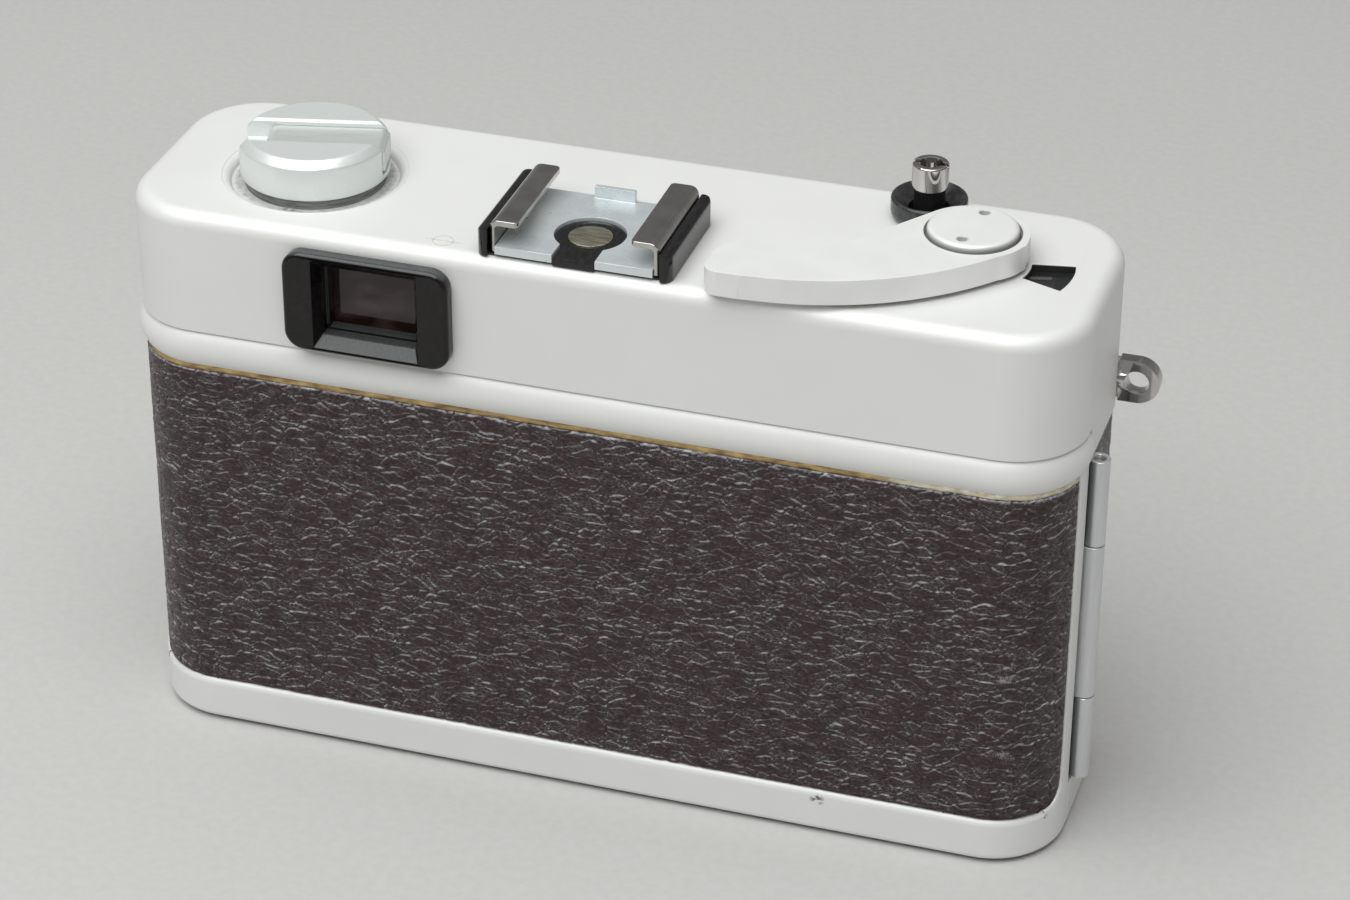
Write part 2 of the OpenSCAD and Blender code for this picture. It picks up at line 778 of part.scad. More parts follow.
// Hinge pin, sunk into the barrel's upper end
module hinge_pin() {
    sink = 0.4;
    color([0.7, 0.7, 0.7])
        translate([hinge_x, hinge_y, hinge_z[0]]) cylinder(r = pin_r, h = hinge_z[1] - hinge_z[0] - sink);
}

// Polished plate that holds the film flat against the gate
module pressure_plate() {
    w = gate_w + 15;
    h = gate_h + 14;
    color([0.12, 0.12, 0.13])
        difference() {
            stand(film_y - 0.35 - plate_t(), plate_t()) translate([0, lens_z]) round_rect(w, h, 2);
            for (x = [-1, 1], z = [-1, 0, 1])
                stand(film_y - 0.35 - FAR, FAR + 1)
                    translate([x * (w / 2 - 4), lens_z + z * (h / 2 - 6)]) circle(1.2);
        }
}

function plate_t() = 1;

// Bowed leaf spring between door and pressure plate
module pressure_spring() {
    span = gate_w - 1;
    leaf_w = 7;
    leaf = 0.25;
    back = rear_y + door_inside;
    bow = film_y - 0.35 - plate_t() - back - 0.02;
    arc_r = (span ^ 2 / 4 + bow ^ 2) / (2 * bow);
    color([0.75, 0.72, 0.6])
        translate([0, 0, lens_z - leaf_w / 2])
            linear_extrude(leaf_w)
                intersection() {
                    translate([0, back + arc_r])
                        difference() {
                            circle(arc_r, $fn = 200);
                            circle(arc_r - leaf, $fn = 200);
                        }
                    translate([-span / 2, back]) square([span, bow]);
                }
}

// Notched tongue on the door's free edge
module door_catch() {
    inside = -body_w / 2 + door_inside;
    color([0.7, 0.7, 0.7])
        difference() {
            translate([inside, rear_y + corner_r, hook_z - slide_gap - catch_h])
                cube([catch_t, latch_y + 2.2 - rear_y - corner_r, catch_h]);
            translate([inside - 1, latch_y - 1.2, hook_z - 2.6]) cube([3, 2.4, 10]);
        }
}

// Sliding latch bar: its arm rides on the rewind shaft, its hook holds the door
module latch_bar() {
    color([0.62, 0.62, 0.6]) {
        translate([latch_x - latch_t / 2, latch_y - 1.5, hook_z - 4])
            cube([latch_t, 3, latch_z + latch_t - hook_z + 4]);
        translate([-body_w / 2 + door_inside + 0.4, latch_y - 1, hook_z])
            cube([latch_x + body_w / 2 - door_inside - 0.4 + EPS, 2, 2]);
        translate([0, 0, latch_z])
            linear_extrude(latch_t)
                difference() {
                    union() {
                        translate([rewind_x, rewind_y]) circle(shaft_r + slide_gap + 1.3);
                        polygon([[latch_x - latch_t / 2, latch_y - 1.5],
                            [latch_x + latch_t / 2, latch_y - 1.5], [rewind_x, rewind_y - 3],
                            [rewind_x, rewind_y + 3], [latch_x - latch_t / 2, latch_y + 3]]);
                    }
                    translate([rewind_x, rewind_y]) circle(shaft_r + slide_gap);
                }
    }
}

// Rewind shaft with the fork that turns the cassette's spool
module rewind_shaft() {
    fork_z = ceiling_z - 5.4;
    color([0.66, 0.66, 0.66])
        translate([rewind_x, rewind_y, 0])
            difference() {
                union() {
                    translate([0, 0, fork_z]) cylinder(r = shaft_r, h = knob_z + 1.6 - fork_z);
                    translate([0, 0, latch_z - slide_gap - 1.2]) cylinder(r = shaft_r + 1.3, h = 1.2);
                }
                translate([-FAR / 2, -0.9, fork_z - 1]) cube([FAR, 1.8, 4.6]);
            }
}

// Rewind knob with a groove for the folded crank
module rewind_knob() {
    bevel = 0.9;
    edge = 0.3;
    flare = edge + 1;
    side = groove_w / 2;
    floor_depth = knob_h - groove_depth;
    color([0.83, 0.84, 0.84])
        translate([rewind_x, rewind_y, knob_z])
            rotate(crank_turn)
                difference() {
                    union() {
                        cylinder(r = knob_r, h = knob_h - bevel);
                        translate([0, 0, knob_h - bevel])
                            cylinder(r1 = knob_r, r2 = knob_r - bevel, h = bevel);
                    }
                    translate([-FAR / 2, 0, 0])
                        rotate([90, 0, 90])
                            linear_extrude(FAR)
                                polygon([[-side, floor_depth], [side, floor_depth], [side, knob_h - edge],
                                    [side + flare, knob_h + 1], [-side - flare, knob_h + 1],
                                    [-side, knob_h - edge]]);
                    translate([knob_r - 1.5, -groove_w / 2, 0.7]) cube([FAR, groove_w, FAR]);
                    translate([0, 0, -1]) cylinder(r = shaft_r + seat_gap, h = 1 + 1.6 + seat_gap);
                    translate([crank_pin_x, 0, crank_pin_z - knob_z])
                        rotate([90, 0, 0])
                            cylinder(r = crank_pin_r + seat_gap, h = groove_w + 3, center = true);
                }
}

// Folding crank lying in the groove, with a turned-down finger tab
module rewind_crank() {
    reach = knob_r - 0.15;
    color([0.83, 0.84, 0.84])
        translate([rewind_x, rewind_y, crank_pin_z])
            rotate(crank_turn)
                rotate([90, 0, 0])
                    difference() {
                        translate([0, 0, -crank_w / 2])
                            linear_extrude(crank_w)
                                union() {
                                    translate([crank_pin_x, 0]) circle(crank_t / 2);
                                    polygon([[crank_pin_x, -crank_t / 2], [reach, -crank_t / 2],
                                        [reach, crank_t / 2 - 0.5], [reach - 0.7, crank_t / 2],
                                        [crank_pin_x, crank_t / 2]]);
                                    translate([reach - 0.9, -2.2]) square([0.9, 2]);
                                }
                        translate([crank_pin_x, 0, 0])
                            cylinder(r = crank_pin_r + run_fit, h = FAR, center = true);
                    }
}

module crank_pin() {
    color([0.6, 0.6, 0.6])
        translate([rewind_x, rewind_y, crank_pin_z])
            rotate(crank_turn)
                translate([crank_pin_x, 0, 0])
                    rotate([90, 0, 0]) cylinder(r = crank_pin_r, h = groove_w + 2.8, center = true);
}

// Flat ring at the bottom of the dish, under the knob
module rewind_collar() {
    color([0.55, 0.56, 0.57])
        translate([rewind_x, rewind_y, body_h - dish_depth])
            difference() {
                cylinder(r = knob_r - 0.5, h = dish_depth + 0.15);
                translate([0, 0, -1]) cylinder(r = shaft_r + slide_gap, h = 5);
            }
}

// Outline of the wind lever, with the winding axis at the origin
module lever_outline() {
    dir = [cos(front_slope), sin(front_slope)];
    touch = hub_r * [-dir[1], dir[0]];
    top = tip_at[1] + tip_r;
    low = tip_at[1] - tip_r;
    corner = touch - dir * (touch[1] - top) / dir[1];
    fillet_r = 6;
    fillet = fillet_r * tan(front_slope / 2);
    circle(hub_r);
    translate(tip_at) circle(tip_r);
    translate([tip_at[0] - tip_r + heel_r, low + heel_r]) circle(heel_r);
    translate([tip_at[0] - tip_r, low + heel_r]) square([tip_r, tip_r - heel_r]);
    translate([tip_at[0] - tip_r + heel_r, low]) square([tip_r - heel_r, tip_r]);
    intersection() {
        translate(back_arc_at) circle(back_arc_r, $fn = 200);
        polygon([[tip_at[0], low - 1], [hub_r, low - 1], [hub_r, 0], [0, 0], touch, corner,
            [tip_at[0], top]]);
    }
    difference() {
        polygon([corner - [fillet, 0], corner, corner + fillet * dir]);
        translate(corner + [-fillet, fillet_r]) circle(fillet_r);
    }
}

// Wind lever with a counterbore for its cap
module wind_lever() {
    color([0.88, 0.88, 0.88])
        translate([wind_x, wind_y, lever_z])
            difference() {
                linear_extrude(lever_t) lever_outline();
                translate([0, 0, lever_t - 0.5]) cylinder(r = cap_r + slide_gap, h = 5);
                translate([0, 0, -1]) cylinder(r = wind_shaft_r + seat_gap, h = 9);
            }
}

// Cap over the lever's fixing, with two spanner holes
module lever_cap() {
    h = 1.25;
    round = 0.6;
    color([0.9, 0.9, 0.9])
        translate([wind_x, wind_y, lever_z + lever_t - 0.5])
            difference() {
                rotate_extrude() {
                    square([cap_r - round, h]);
                    square([cap_r, h - round]);
                    translate([cap_r - round, h - round]) circle(round);
                }
                for (side = [-1, 1])
                    rotate(83) translate([side * 3.5, 0, h - 0.7]) cylinder(r = 0.55, h = 2);
            }
}

// Winding shaft: carries the lever, the counter and the first gear, and drives the spool
module wind_shaft() {
    top = lever_z + lever_t - 0.5;
    color([0.68, 0.68, 0.68])
        translate([wind_x, wind_y, 0]) {
            translate([0, 0, ceiling_z - 0.4]) cylinder(r = wind_shaft_r, h = top - ceiling_z + 0.4);
            translate([0, 0, ceiling_z - 3]) cylinder(r = 2, h = 3);
            translate([0, 0, counter_z - 1.3]) cylinder(r = wind_shaft_r + 1.2, h = 1.2);
            translate([0, 0, body_h + 0.15]) cylinder(r = hub_r - 1.4, h = lever_z - body_h - 0.15);
        }
}

module gear_at(x, y, teeth, phase, bore) {
    translate([x, y, gear_z])
        difference() {
            rotate(phase) linear_extrude(gear_t) gear_outline(teeth);
            translate([0, 0, -1]) cylinder(r = bore, h = gear_t + 2);
        }
}

module wind_gear()
    color([0.8, 0.66, 0.35]) gear_at(wind_x, wind_y, wind_teeth, idler_turn, wind_shaft_r + seat_gap);

module idler_gear()
    color([0.72, 0.72, 0.72]) gear_at(idler_x, idler_y, idler_teeth, idler_phase, idler_stud_r + run_fit);

module sprocket_gear()
    color([0.8, 0.66, 0.35])
        gear_at(sprocket_x, sprocket_y, sprocket_teeth, sprocket_phase, sprocket_shaft_r + seat_gap);

// Number disc under the counter window
module frame_counter() {
    color([0.08, 0.08, 0.08])
        translate([wind_x, wind_y, counter_z])
            difference() {
                cylinder(r = counter_r, h = 0.8);
                translate([0, 0, -1]) cylinder(r = wind_shaft_r + run_fit, h = 3);
            }
}

// Clear fan-shaped window under the top cover
module counter_window() {
    color([0.5, 0.55, 0.55, 0.5])
        translate([wind_x, wind_y, under_top_z - 0.7])
            linear_extrude(0.7)
                fan(window_r[0] - 0.8, window_r[1] + 0.6, window_turn[0] - 4, window_turn[1] + 4);
}

// Slotted take-up drum
module take_up_spool() {
    from = floor_z + 0.5;
    to = ceiling_z - 0.5;
    wall = 1.4;
    color([0.1, 0.1, 0.1])
        translate([wind_x, wind_y, 0])
            difference() {
                translate([0, 0, from]) cylinder(r = spool_r, h = to - from);
                translate([0, 0, from + 3]) cylinder(r = spool_r - wall, h = to - from - 6);
                for (turn = [0, 120, 240])
                    rotate(turn + 30) translate([0, -0.9, from + 6]) cube([FAR, 1.8, to - from - 12]);
                translate([0, 0, from - 1]) cylinder(r = 1.5 + run_fit, h = 5);
                translate([0, 0, to - 4]) cylinder(r = 2 + run_fit, h = 5);
            }
}

// Two toothed wheels on one shaft that pull the film by its perforations
module film_sprocket() {
    wheel_h = 5;
    teeth = 8;
    bottom = floor_z + 1.7;
    color([0.66, 0.66, 0.66])
        translate([sprocket_x, sprocket_y, 0]) {
            translate([0, 0, bottom]) cylinder(r = sprocket_shaft_r, h = gear_z + gear_t - bottom);
            translate([0, 0, lens_z - perforation_rows / 2 - wheel_h / 2])
                cylinder(r = sprocket_r - 1.2, h = perforation_rows + wheel_h);
            for (row = [-1, 1])
                translate([0, 0, lens_z + row * perforation_rows / 2]) {
                    translate([0, 0, -wheel_h / 2]) cylinder(r = sprocket_r, h = wheel_h);
                    for (i = [0 : teeth - 1])
                        rotate((i + 0.5) * 360 / teeth)
                            translate([0, 0, -1.2])
                                linear_extrude(2.4)
                                    polygon([[0, -0.8], [sprocket_r + 0.5, -0.7], [sprocket_r + 1.1, -0.3],
                                        [sprocket_r + 1.1, 0.3], [sprocket_r + 0.5, 0.7], [0, 0.8]]);
                }
        }
}

// Chrome button, bored for a cable release, with two driver notches
module release_button() {
    color([0.85, 0.85, 0.86])
        translate([release_x, release_y, button_z])
            difference() {
                rotate_extrude() {
                    square([button_r - 0.25, button_h]);
                    square([button_r, button_h - 0.25]);
                    translate([button_r - 0.25, button_h - 0.25]) circle(0.25);
                }
                translate([0, 0, button_h - 2.4]) cylinder(r = 1.3, h = 5);
                translate([-FAR / 2, -0.35, button_h - 0.5]) cube([FAR, 0.7, 2]);
                translate([0, 0, -1]) cylinder(r = release_stem_r - 0.5, h = 1.4);
            }
}

// Button shaft with the offset rod that trips the shutter
module release_shaft() {
    color([0.2, 0.2, 0.2]) {
        translate([release_x, release_y, release_arm_z])
            cylinder(r = release_stem_r, h = body_h + 1 - release_arm_z);
        translate([release_x, release_y, body_h + 1 - EPS])
            cylinder(r = button_r - 0.3, h = button_z - body_h - 1 + EPS);
        translate([release_x, release_y, button_z - EPS])
            cylinder(r = release_stem_r - 0.5 - seat_gap, h = 0.35);
        translate([release_x - 1, release_y, release_arm_z]) cube([2, release_rod_y - release_y, 1.4]);
        translate([release_x, release_rod_y, release_arm_z]) cylinder(r = 1.4, h = 1.4);
        translate([release_x, release_rod_y, deck_z - rod_reach])
            cylinder(r = release_rod_r, h = release_arm_z - deck_z + rod_reach + 0.1);
    }
}

function collar_neck_r() = 3;

// Dished black collar round the button
module release_collar() {
    rim = 0.35;
    foot = 1.1;
    bowl_r = collar_r - rim;
    bore = button_r + slide_gap;
    color([0.09, 0.09, 0.1])
        translate([release_x, release_y, body_h])
            rotate_extrude()
                difference() {
                    union() {
                        square([collar_r - foot, collar_h]);
                        translate([collar_r - foot, foot]) circle(foot);
                        translate([0, foot]) square([collar_r, collar_h - foot - rim]);
                        translate([0, foot]) square([collar_r - rim, collar_h - foot]);
                        translate([collar_r - rim, collar_h - rim]) circle(rim);
                        translate([0, -cover_wall - 0.6]) square([collar_neck_r(), cover_wall + 0.7]);
                    }
                    translate([-1, -FAR]) square([bore + 1, 2 * FAR]);
                    translate([0, collar_h + 0.9]) circle(bowl_r * 0.72 + 0.2);
                    polygon([[0, collar_h - 1.4], [bore, collar_h - 1.4], [bowl_r, collar_h + EPS],
                        [0, collar_h + 1]]);
                }
}

// Return spring round the release rod, one coiled wire
module release_spring() {
    turns = 5;
    wire_r = 0.25;
    coil_r = release_rod_r + slide_gap + wire_r;
    bottom = deck_z + wire_r + 0.05;
    rise = release_arm_z - deck_z - 2 * wire_r - 0.1;
    rings = turns * 12;
    sides = 6;
    points = [for (i = [0 : rings], s = [0 : sides - 1])
        let (a = i * 360 / 12, b = s * 360 / sides, r = coil_r + wire_r * cos(b))
        [r * cos(a), r * sin(a), bottom + rise * i / rings + wire_r * sin(b)]];
    walls = [for (i = [0 : rings - 1], s = [0 : sides - 1])
        let (t = (s + 1) % sides, p = i * sides, q = p + sides)
        each [[p + s, p + t, q + s], [p + t, q + t, q + s]]];
    first = [for (s = [1 : sides - 2]) [0, s + 1, s]];
    end = rings * sides;
    last = [for (s = [1 : sides - 2]) [end, end + s, end + s + 1]];
    color([0.7, 0.7, 0.7])
        translate([release_x, release_rod_y, 0]) polyhedron(points, concat(walls, first, last));
}

// Zinc floor of the shoe with its keyhole cut and stop tab
module shoe_floor() {
    tab_w = 4.9;
    color([0.74, 0.77, 0.78]) {
        translate([shoe_x, shoe_y, shoe_floor_z])
            linear_extrude(shoe_floor_t)
                difference() {
                    translate([-shoe_w / 2 + shoe_fit, 0]) square([shoe_w - 2 * shoe_fit, shoe_len]);
                    translate([0, shoe_hole_y - shoe_y]) circle(shoe_hole_r);
                    translate([-shoe_key_w / 2, -1]) square([shoe_key_w, shoe_hole_y - shoe_y + 1]);
                }
        translate([shoe_x - tab_w / 2, shoe_y + shoe_len - 0.7, shoe_floor_z + shoe_floor_t - EPS])
            cube([tab_w, 0.7, 1.4]);
    }
}

// Two spring rails folded over the shoe's floor
module shoe_rails() {
    top = shoe_floor_t + shoe_slot_h + rail_t;
    bend = 1.2;
    wide = shoe_lip + rail_t;
    from = shoe_y + 0.3;
    long = shoe_len - 0.5;
    round = 0.6;
    color([0.8, 0.8, 0.81])
        for (side = [-1, 1])
            intersection() {
                stand(from, long)
                    translate([shoe_x, shoe_floor_z])
                        mirror([side < 0 ? 1 : 0, 0]) translate([shoe_outer, 0]) rail_section(top, bend);
                translate([shoe_x + side * (shoe_outer - wide / 2), from + long / 2, shoe_floor_z])
                    linear_extrude(FAR) round_rect(wide, long, round);
            }
}

module rail_section(top, bend) {
    translate([-shoe_lip - rail_t, top - rail_t]) square([shoe_lip + rail_t - bend, rail_t]);
    translate([-rail_t, 0.2]) square([rail_t, top - bend - 0.2]);
    translate([-bend, top - bend])
        intersection() {
            difference() {
                circle(bend);
                circle(bend - rail_t);
            }
            square(bend);
        }
}

// Black insulator: a base under the floor, round-edged flanks and the plug that fills the keyhole
module shoe_insulator() {
    base_h = shoe_floor_z - body_h;
    plug_h = base_h + shoe_floor_t - 0.4;
    set_back = 0.4;
    long = shoe_len + 0.2;
    round = 1.1;
    half = shoe_outer + flank_t;
    key_w = shoe_key_w - 2 * shoe_fit;
    color([0.05, 0.05, 0.05])
        translate([shoe_x, shoe_y, body_h]) {
            intersection() {
                union() {
                    translate([-half, set_back, 0]) cube([2 * half, shoe_len - set_back, base_h]);
                    for (side = [0, 1])
                        mirror([side, 0, 0])
                            translate([0, (shoe_len + long) / 2, 0])
                                rotate([90, 0, 0]) linear_extrude(long) flank_section(half);
                }
                translate([0, shoe_len / 2, 0]) linear_extrude(FAR) round_rect(2 * half, long, round);
            }
            translate([0, shoe_hole_y - shoe_y, 0])
                difference() {
                    cylinder(r = shoe_hole_r - shoe_fit, h = plug_h);
                    translate([0, 0, base_h]) cylinder(r = contact_r + seat_gap, h = 9);
                }
            translate([-key_w / 2, 0, 0])
                cube([key_w, shoe_hole_y - shoe_y - contact_r - 0.25, plug_h]);
        }
}

// One flank of the insulator, seen along the shoe, with a round outer top edge
module flank_section(half) {
    top = 3.4;
    round = 0.65;
    wall = flank_t - shoe_fit;
    translate([shoe_outer + shoe_fit, 0]) square([wall, top - round]);
    translate([shoe_outer + shoe_fit, 0]) square([wall - round, top]);
    translate([half - round, top - round]) circle(round);
}

module shoe_contact() {
    color([0.72, 0.7, 0.6])
        translate([shoe_x, shoe_hole_y, shoe_floor_z]) cylinder(r = contact_r, h = shoe_floor_t - 0.25);
}

function eye_neck_w() = eye_open_w + 1.8;
function eye_neck_h() = eye_open_h - 0.4;

// Pocket of the eyepiece, seen from its side: a sloped sill, a step and the way to the glass
module eye_pocket(opening, glass) {
    sill = glass / 2 + eye_step;
    for (side = [0, 1])
        mirror([0, side])
            polygon([[-EPS, 0], [-EPS, opening / 2], [eye_sill, sill], [eye_step_y, sill],
                [eye_step_y, glass / 2], [FAR, glass / 2], [FAR, 0]]);
}

// Edge of the eyepiece frame, rounded at the front
module eye_edge_section() {
    square([eye_round - eye_edge, eye_proud]);
    square([eye_round, eye_proud - eye_edge]);
    translate([eye_round - eye_edge, eye_proud - eye_edge]) circle(eye_edge);
}

// Eyepiece frame with a stepped pocket that narrows to the glass
module eyepiece_frame() {
    deep = eye_proud + 2.4;
    color([0.04, 0.04, 0.04])
        difference() {
            union() {
                translate([vf_x, rear_y, vf_z])
                    rotate([90, 0, 0]) {
                        carried_round(eye_w, eye_h, eye_round) eye_edge_section();
                        translate([-eye_w / 2 + eye_round, -eye_h / 2 + eye_round, 0])
                            cube([eye_w - 2 * eye_round, eye_h - 2 * eye_round, eye_proud]);
                    }
                stand(rear_y - EPS, cover_wall + 2)
                    translate([vf_x, vf_z]) round_rect(eye_neck_w(), eye_neck_h(), 1);
            }
            intersection() {
                translate([vf_x, rear_y - eye_proud, 0])
                    linear_extrude(FAR) rotate(90) eye_pocket(eye_open_w, glass_w);
                translate([vf_x - FAR / 2, rear_y - eye_proud, vf_z])
                    rotate([90, 0, 90]) linear_extrude(FAR) eye_pocket(eye_open_h, glass_h);
            }
            stand(rear_y - eye_proud + deep - 0.1, 9)
                translate([vf_x, vf_z]) square([glass_w + 1.2, glass_h + 0.8], center = true);
        }
}

module eyepiece_glass() {
    color([0.3, 0.2, 0.15, 0.6])
        stand(rear_y + 2.3, 0.8)
            translate([vf_x, vf_z])
                square([glass_w + 1.2 - 2 * seat_gap, glass_h + 0.8 - 2 * seat_gap], center = true);
}

// Light tube from the eyepiece to the front window, on two feet
module viewfinder_tube() {
    from = rear_y + cover_wall + 2.2;
    to = front_y - cover_wall - 2.2;
    color([0.08, 0.08, 0.08]) {
        difference() {
            stand(from, to - from)
                translate([vf_x, vf_z]) square([vf_tube_w, vf_tube_h], center = true);
            stand(from - 1, to - from + 2)
                translate([vf_x, vf_z])
                    square([vf_tube_w - 2 * vf_wall, vf_tube_h - 2 * vf_wall], center = true);
        }
        for (y = [from + 3, to - 6])
            translate([vf_x - vf_tube_w / 2, y, deck_z])
                cube([vf_tube_w, 3, vf_z - vf_tube_h / 2 - deck_z + EPS]);
    }
}

function bezel_neck_w() = bezel_w - 2.4;
function bezel_neck_h() = bezel_h - 1.6;

// Black frame of the front window
module viewfinder_bezel() {
    color([0.05, 0.05, 0.05])
        difference() {
            union() {
                stand(front_y, bezel_proud) translate([vf_x, vf_z]) round_rect(bezel_w, bezel_h, 1.6);
                stand(front_y - cover_wall - 1.9, cover_wall + 1.9 + EPS)
                    translate([vf_x, vf_z]) round_rect(bezel_neck_w(), bezel_neck_h(), 1);
            }
            stand(front_y - FAR / 2, FAR)
                translate([vf_x, vf_z]) round_rect(bezel_neck_w() - 3.2, bezel_neck_h() - 2.6, 0.8);
            stand(front_y - 0.6, 5)
                translate([vf_x, vf_z]) round_rect(bezel_neck_w() - 1.6, bezel_neck_h() - 1.2, 0.8);
        }
}

module viewfinder_window() {
    color([0.6, 0.65, 0.68, 0.5])
        stand(front_y - 0.6, 0.9)
            translate([vf_x, vf_z])
                round_rect(bezel_neck_w() - 1.6 - 2 * seat_gap, bezel_neck_h() - 1.2 - 2 * seat_gap, 0.9);
}

// Flange ring between the body's front and the shutter
module lens_flange() {
    color([0.82, 0.83, 0.82])
        difference() {
            union() {
                disc_on_axis(flange_r, front_y - leather_t - seat_gap, flange_t - 0.3 + leather_t + seat_gap);
                disc_on_axis(flange_r - 0.5, front_y + flange_t - 0.3 - EPS, 0.3 + EPS);
            }
            disc_on_axis(tube_r + 0.1, front_y - 5, 20);
        }
}

// Shutter housing: rear tube, blade wall with its light hole, and the cell's guide
module shutter_housing() {
    base_y = front_y + flange_t;
    color([0.13, 0.13, 0.14]) {
        difference() {
            union() {
                disc_on_axis(housing_r, base_y, housing_len);
                disc_on_axis(tube_r, front_y - 7.5, 7.5 + flange_t + EPS);
            }
            disc_on_axis(rear_glass_r + seat_gap, front_y - 20, 20 + blade_wall_y - front_y - 1);
            disc_on_axis(light_r, front_y - 20, 40);
            disc_on_axis(blade_room_r, blade_wall_y, 3.2);
            disc_on_axis(cell_r + slide_gap, blade_wall_y + 3, 40);
        }
        for (side = [-1, 1])
            translate([0, 0, side * blade_pivot]) disc_on_axis(blade_pivot_r, blade_wall_y - EPS, 2.2);
    }
}

// Control ring with a ribbed grip band between plain shoulders
module grip_ring(y, w, r, ribs, shoulder) {
    difference() {
        union() {
            disc_on_axis(r - 0.5, y, w);
            on_axis(y + shoulder) linear_extrude(w - shoulder - 0.6) ribbed(r, ribs, 0.4);
        }
        disc_on_axis(ring_bore, y - 1, w + 2);
    }
}

module exposure_ring()
    color([0.8, 0.8, 0.8]) grip_ring(exposure_y, exposure_w, exposure_r, 90, 2.2);

module focus_ring()
    color([0.12, 0.12, 0.12]) grip_ring(focus_y, focus_w, focus_r, 60, 1.6);

// Sliding lens cell with the filter thread at its mouth
module lens_cell() {
    color([0.14, 0.14, 0.15])
        difference() {
            disc_on_axis(cell_r, cell_y, cell_len);
            disc_on_axis(filter_r, bezel_y + lens_bezel_t, 20);
            disc_on_axis(filter_r - 0.6, bezel_y, 20);
            disc_on_axis(front_glass_r + seat_gap, cell_y + 1.2, 20);
            disc_on_axis(front_glass_r - 1, cell_y - 1, 20);
        }
}

// Conical black ring that holds the front lens
module lens_bezel() {
    color([0.05, 0.05, 0.05])
        difference() {
            disc_on_axis(filter_r - 0.6 - seat_gap, bezel_y, lens_bezel_t);
            on_axis(bezel_y - EPS)
                cylinder(r1 = front_glass_r - 0.8, r2 = filter_r - 1.8, h = lens_bezel_t + 2 * EPS);
        }
}

// A glass with two domed faces, lying on the lens axis
module glass(r, y, t, dome) {
    curve = (r ^ 2 + dome ^ 2) / (2 * dome);
    on_axis(y)
        rotate_extrude()
            intersection() {
                square([r, t]);
                translate([0, curve]) circle(curve, $fn = 200);
                translate([0, t - curve]) circle(curve, $fn = 200);
            }
}

module front_lens()
    color([0.55, 0.6, 0.7, 0.5]) glass(front_glass_r, cell_y + 1.2, 5.4, 1.4);

module rear_lens()
    color([0.55, 0.6, 0.7, 0.5]) glass(rear_glass_r, front_y - 4, 4.4, 0.9);

// Half of the leaf shutter, drawn with its pivot above the light hole
module blade() {
    cover_r = light_r + 0.5;
    difference() {
        union() {
            intersection() {
                circle(cover_r);
                translate([-0.6, -FAR / 2]) square(FAR);
            }
            polygon([[-1.6, blade_pivot], [-0.6, 0], [cover_r, 0], [1.6, blade_pivot]]);
            translate([0, blade_pivot]) circle(1.8);
        }
        translate([0, blade_pivot]) circle(blade_pivot_r + run_fit);
    }
}

module shutter_blade_upper()
    color([0.2, 0.2, 0.22])
        stand(blade_wall_y + slide_gap, blade_t) translate([0, lens_z]) blade();

module shutter_blade_lower()
    color([0.2, 0.2, 0.22])
        stand(blade_wall_y + 2 * slide_gap + blade_t, blade_t) translate([0, lens_z]) rotate(180) blade();

function lug_stud_r() = 1.4;

// Strap lug: an eye plate on a stud through the top cover's side
module strap_lug(side) {
    root = lug_x - body_w / 2 - seat_gap;
    color([0.75, 0.75, 0.76])
        translate([side * lug_x, lug_y, lug_z])
            difference() {
                union() {
                    rotate([90, 0, 0]) cylinder(r = lug_r, h = lug_t, center = true);
                    translate([-side * root / 2, 0, 0]) cube([root, lug_t, 2 * lug_r], center = true);
                    rotate([0, -side * 90, 0]) cylinder(r = lug_stud_r(), h = lug_stud_len);
                }
                rotate([90, 0, 0]) cylinder(r = lug_hole_r, h = 10, center = true);
            }
}

module strap_lug_left() strap_lug(-1);

module strap_lug_right() strap_lug(1);

// Threaded bush for a tripod screw, flush with the base
module tripod_socket() {
    color([0.7, 0.7, 0.68])
        difference() {
            cylinder(r = socket_r, h = socket_h);
            translate([0, 0, -1]) cylinder(r = socket_thread_r, h = socket_depth + 1);
        }
}

// Button in the base that frees the sprocket for rewinding
module rewind_button() {
    color([0.7, 0.7, 0.7])
        translate([sprocket_x, sprocket_y, 0.2]) {
            cylinder(r = 2.4, h = 1.6);
            translate([0, 0, base_t - 0.2 + 0.1]) cylinder(r = 3.1, h = 0.8);
        }
}

// Screws that hold the base plate
module base_screws() {
    color([0.7, 0.7, 0.7])
        for (p = base_screw_at)
            translate([p[0], p[1], 0.1]) {
                difference() {
                    cylinder(r = 1.6, h = 0.5);
                    translate([-2, -0.2, -1]) cube([4, 0.4, 1.25]);
                }
                cylinder(r = 0.8, h = floor_z - 0.6);
            }
}

chassis();
cassette_block();
take_up_block();
film_gate();
top_cover();
base_plate();
front_leatherette();
rear_door();
door_leatherette();
door_hinge_leaf();
body_hinge_leaf();
hinge_pin();
pressure_plate();
pressure_spring();
door_catch();
latch_bar();
rewind_shaft();
rewind_knob();
rewind_crank();
crank_pin();
rewind_collar();
wind_lever();
lever_cap();
wind_shaft();
wind_gear();
idler_gear();
sprocket_gear();
frame_counter();
counter_window();
take_up_spool();
film_sprocket();
release_button();
release_shaft();
release_collar();
release_spring();
shoe_floor();
shoe_rails();
shoe_insulator();
shoe_contact();
eyepiece_frame();
eyepiece_glass();
viewfinder_tube();
viewfinder_bezel();
viewfinder_window();
lens_flange();
shutter_housing();
exposure_ring();
focus_ring();
lens_cell();
lens_bezel();
front_lens();
rear_lens();
shutter_blade_upper();
shutter_blade_lower();
strap_lug_left();
strap_lug_right();
tripod_socket();
rewind_button();
base_screws();
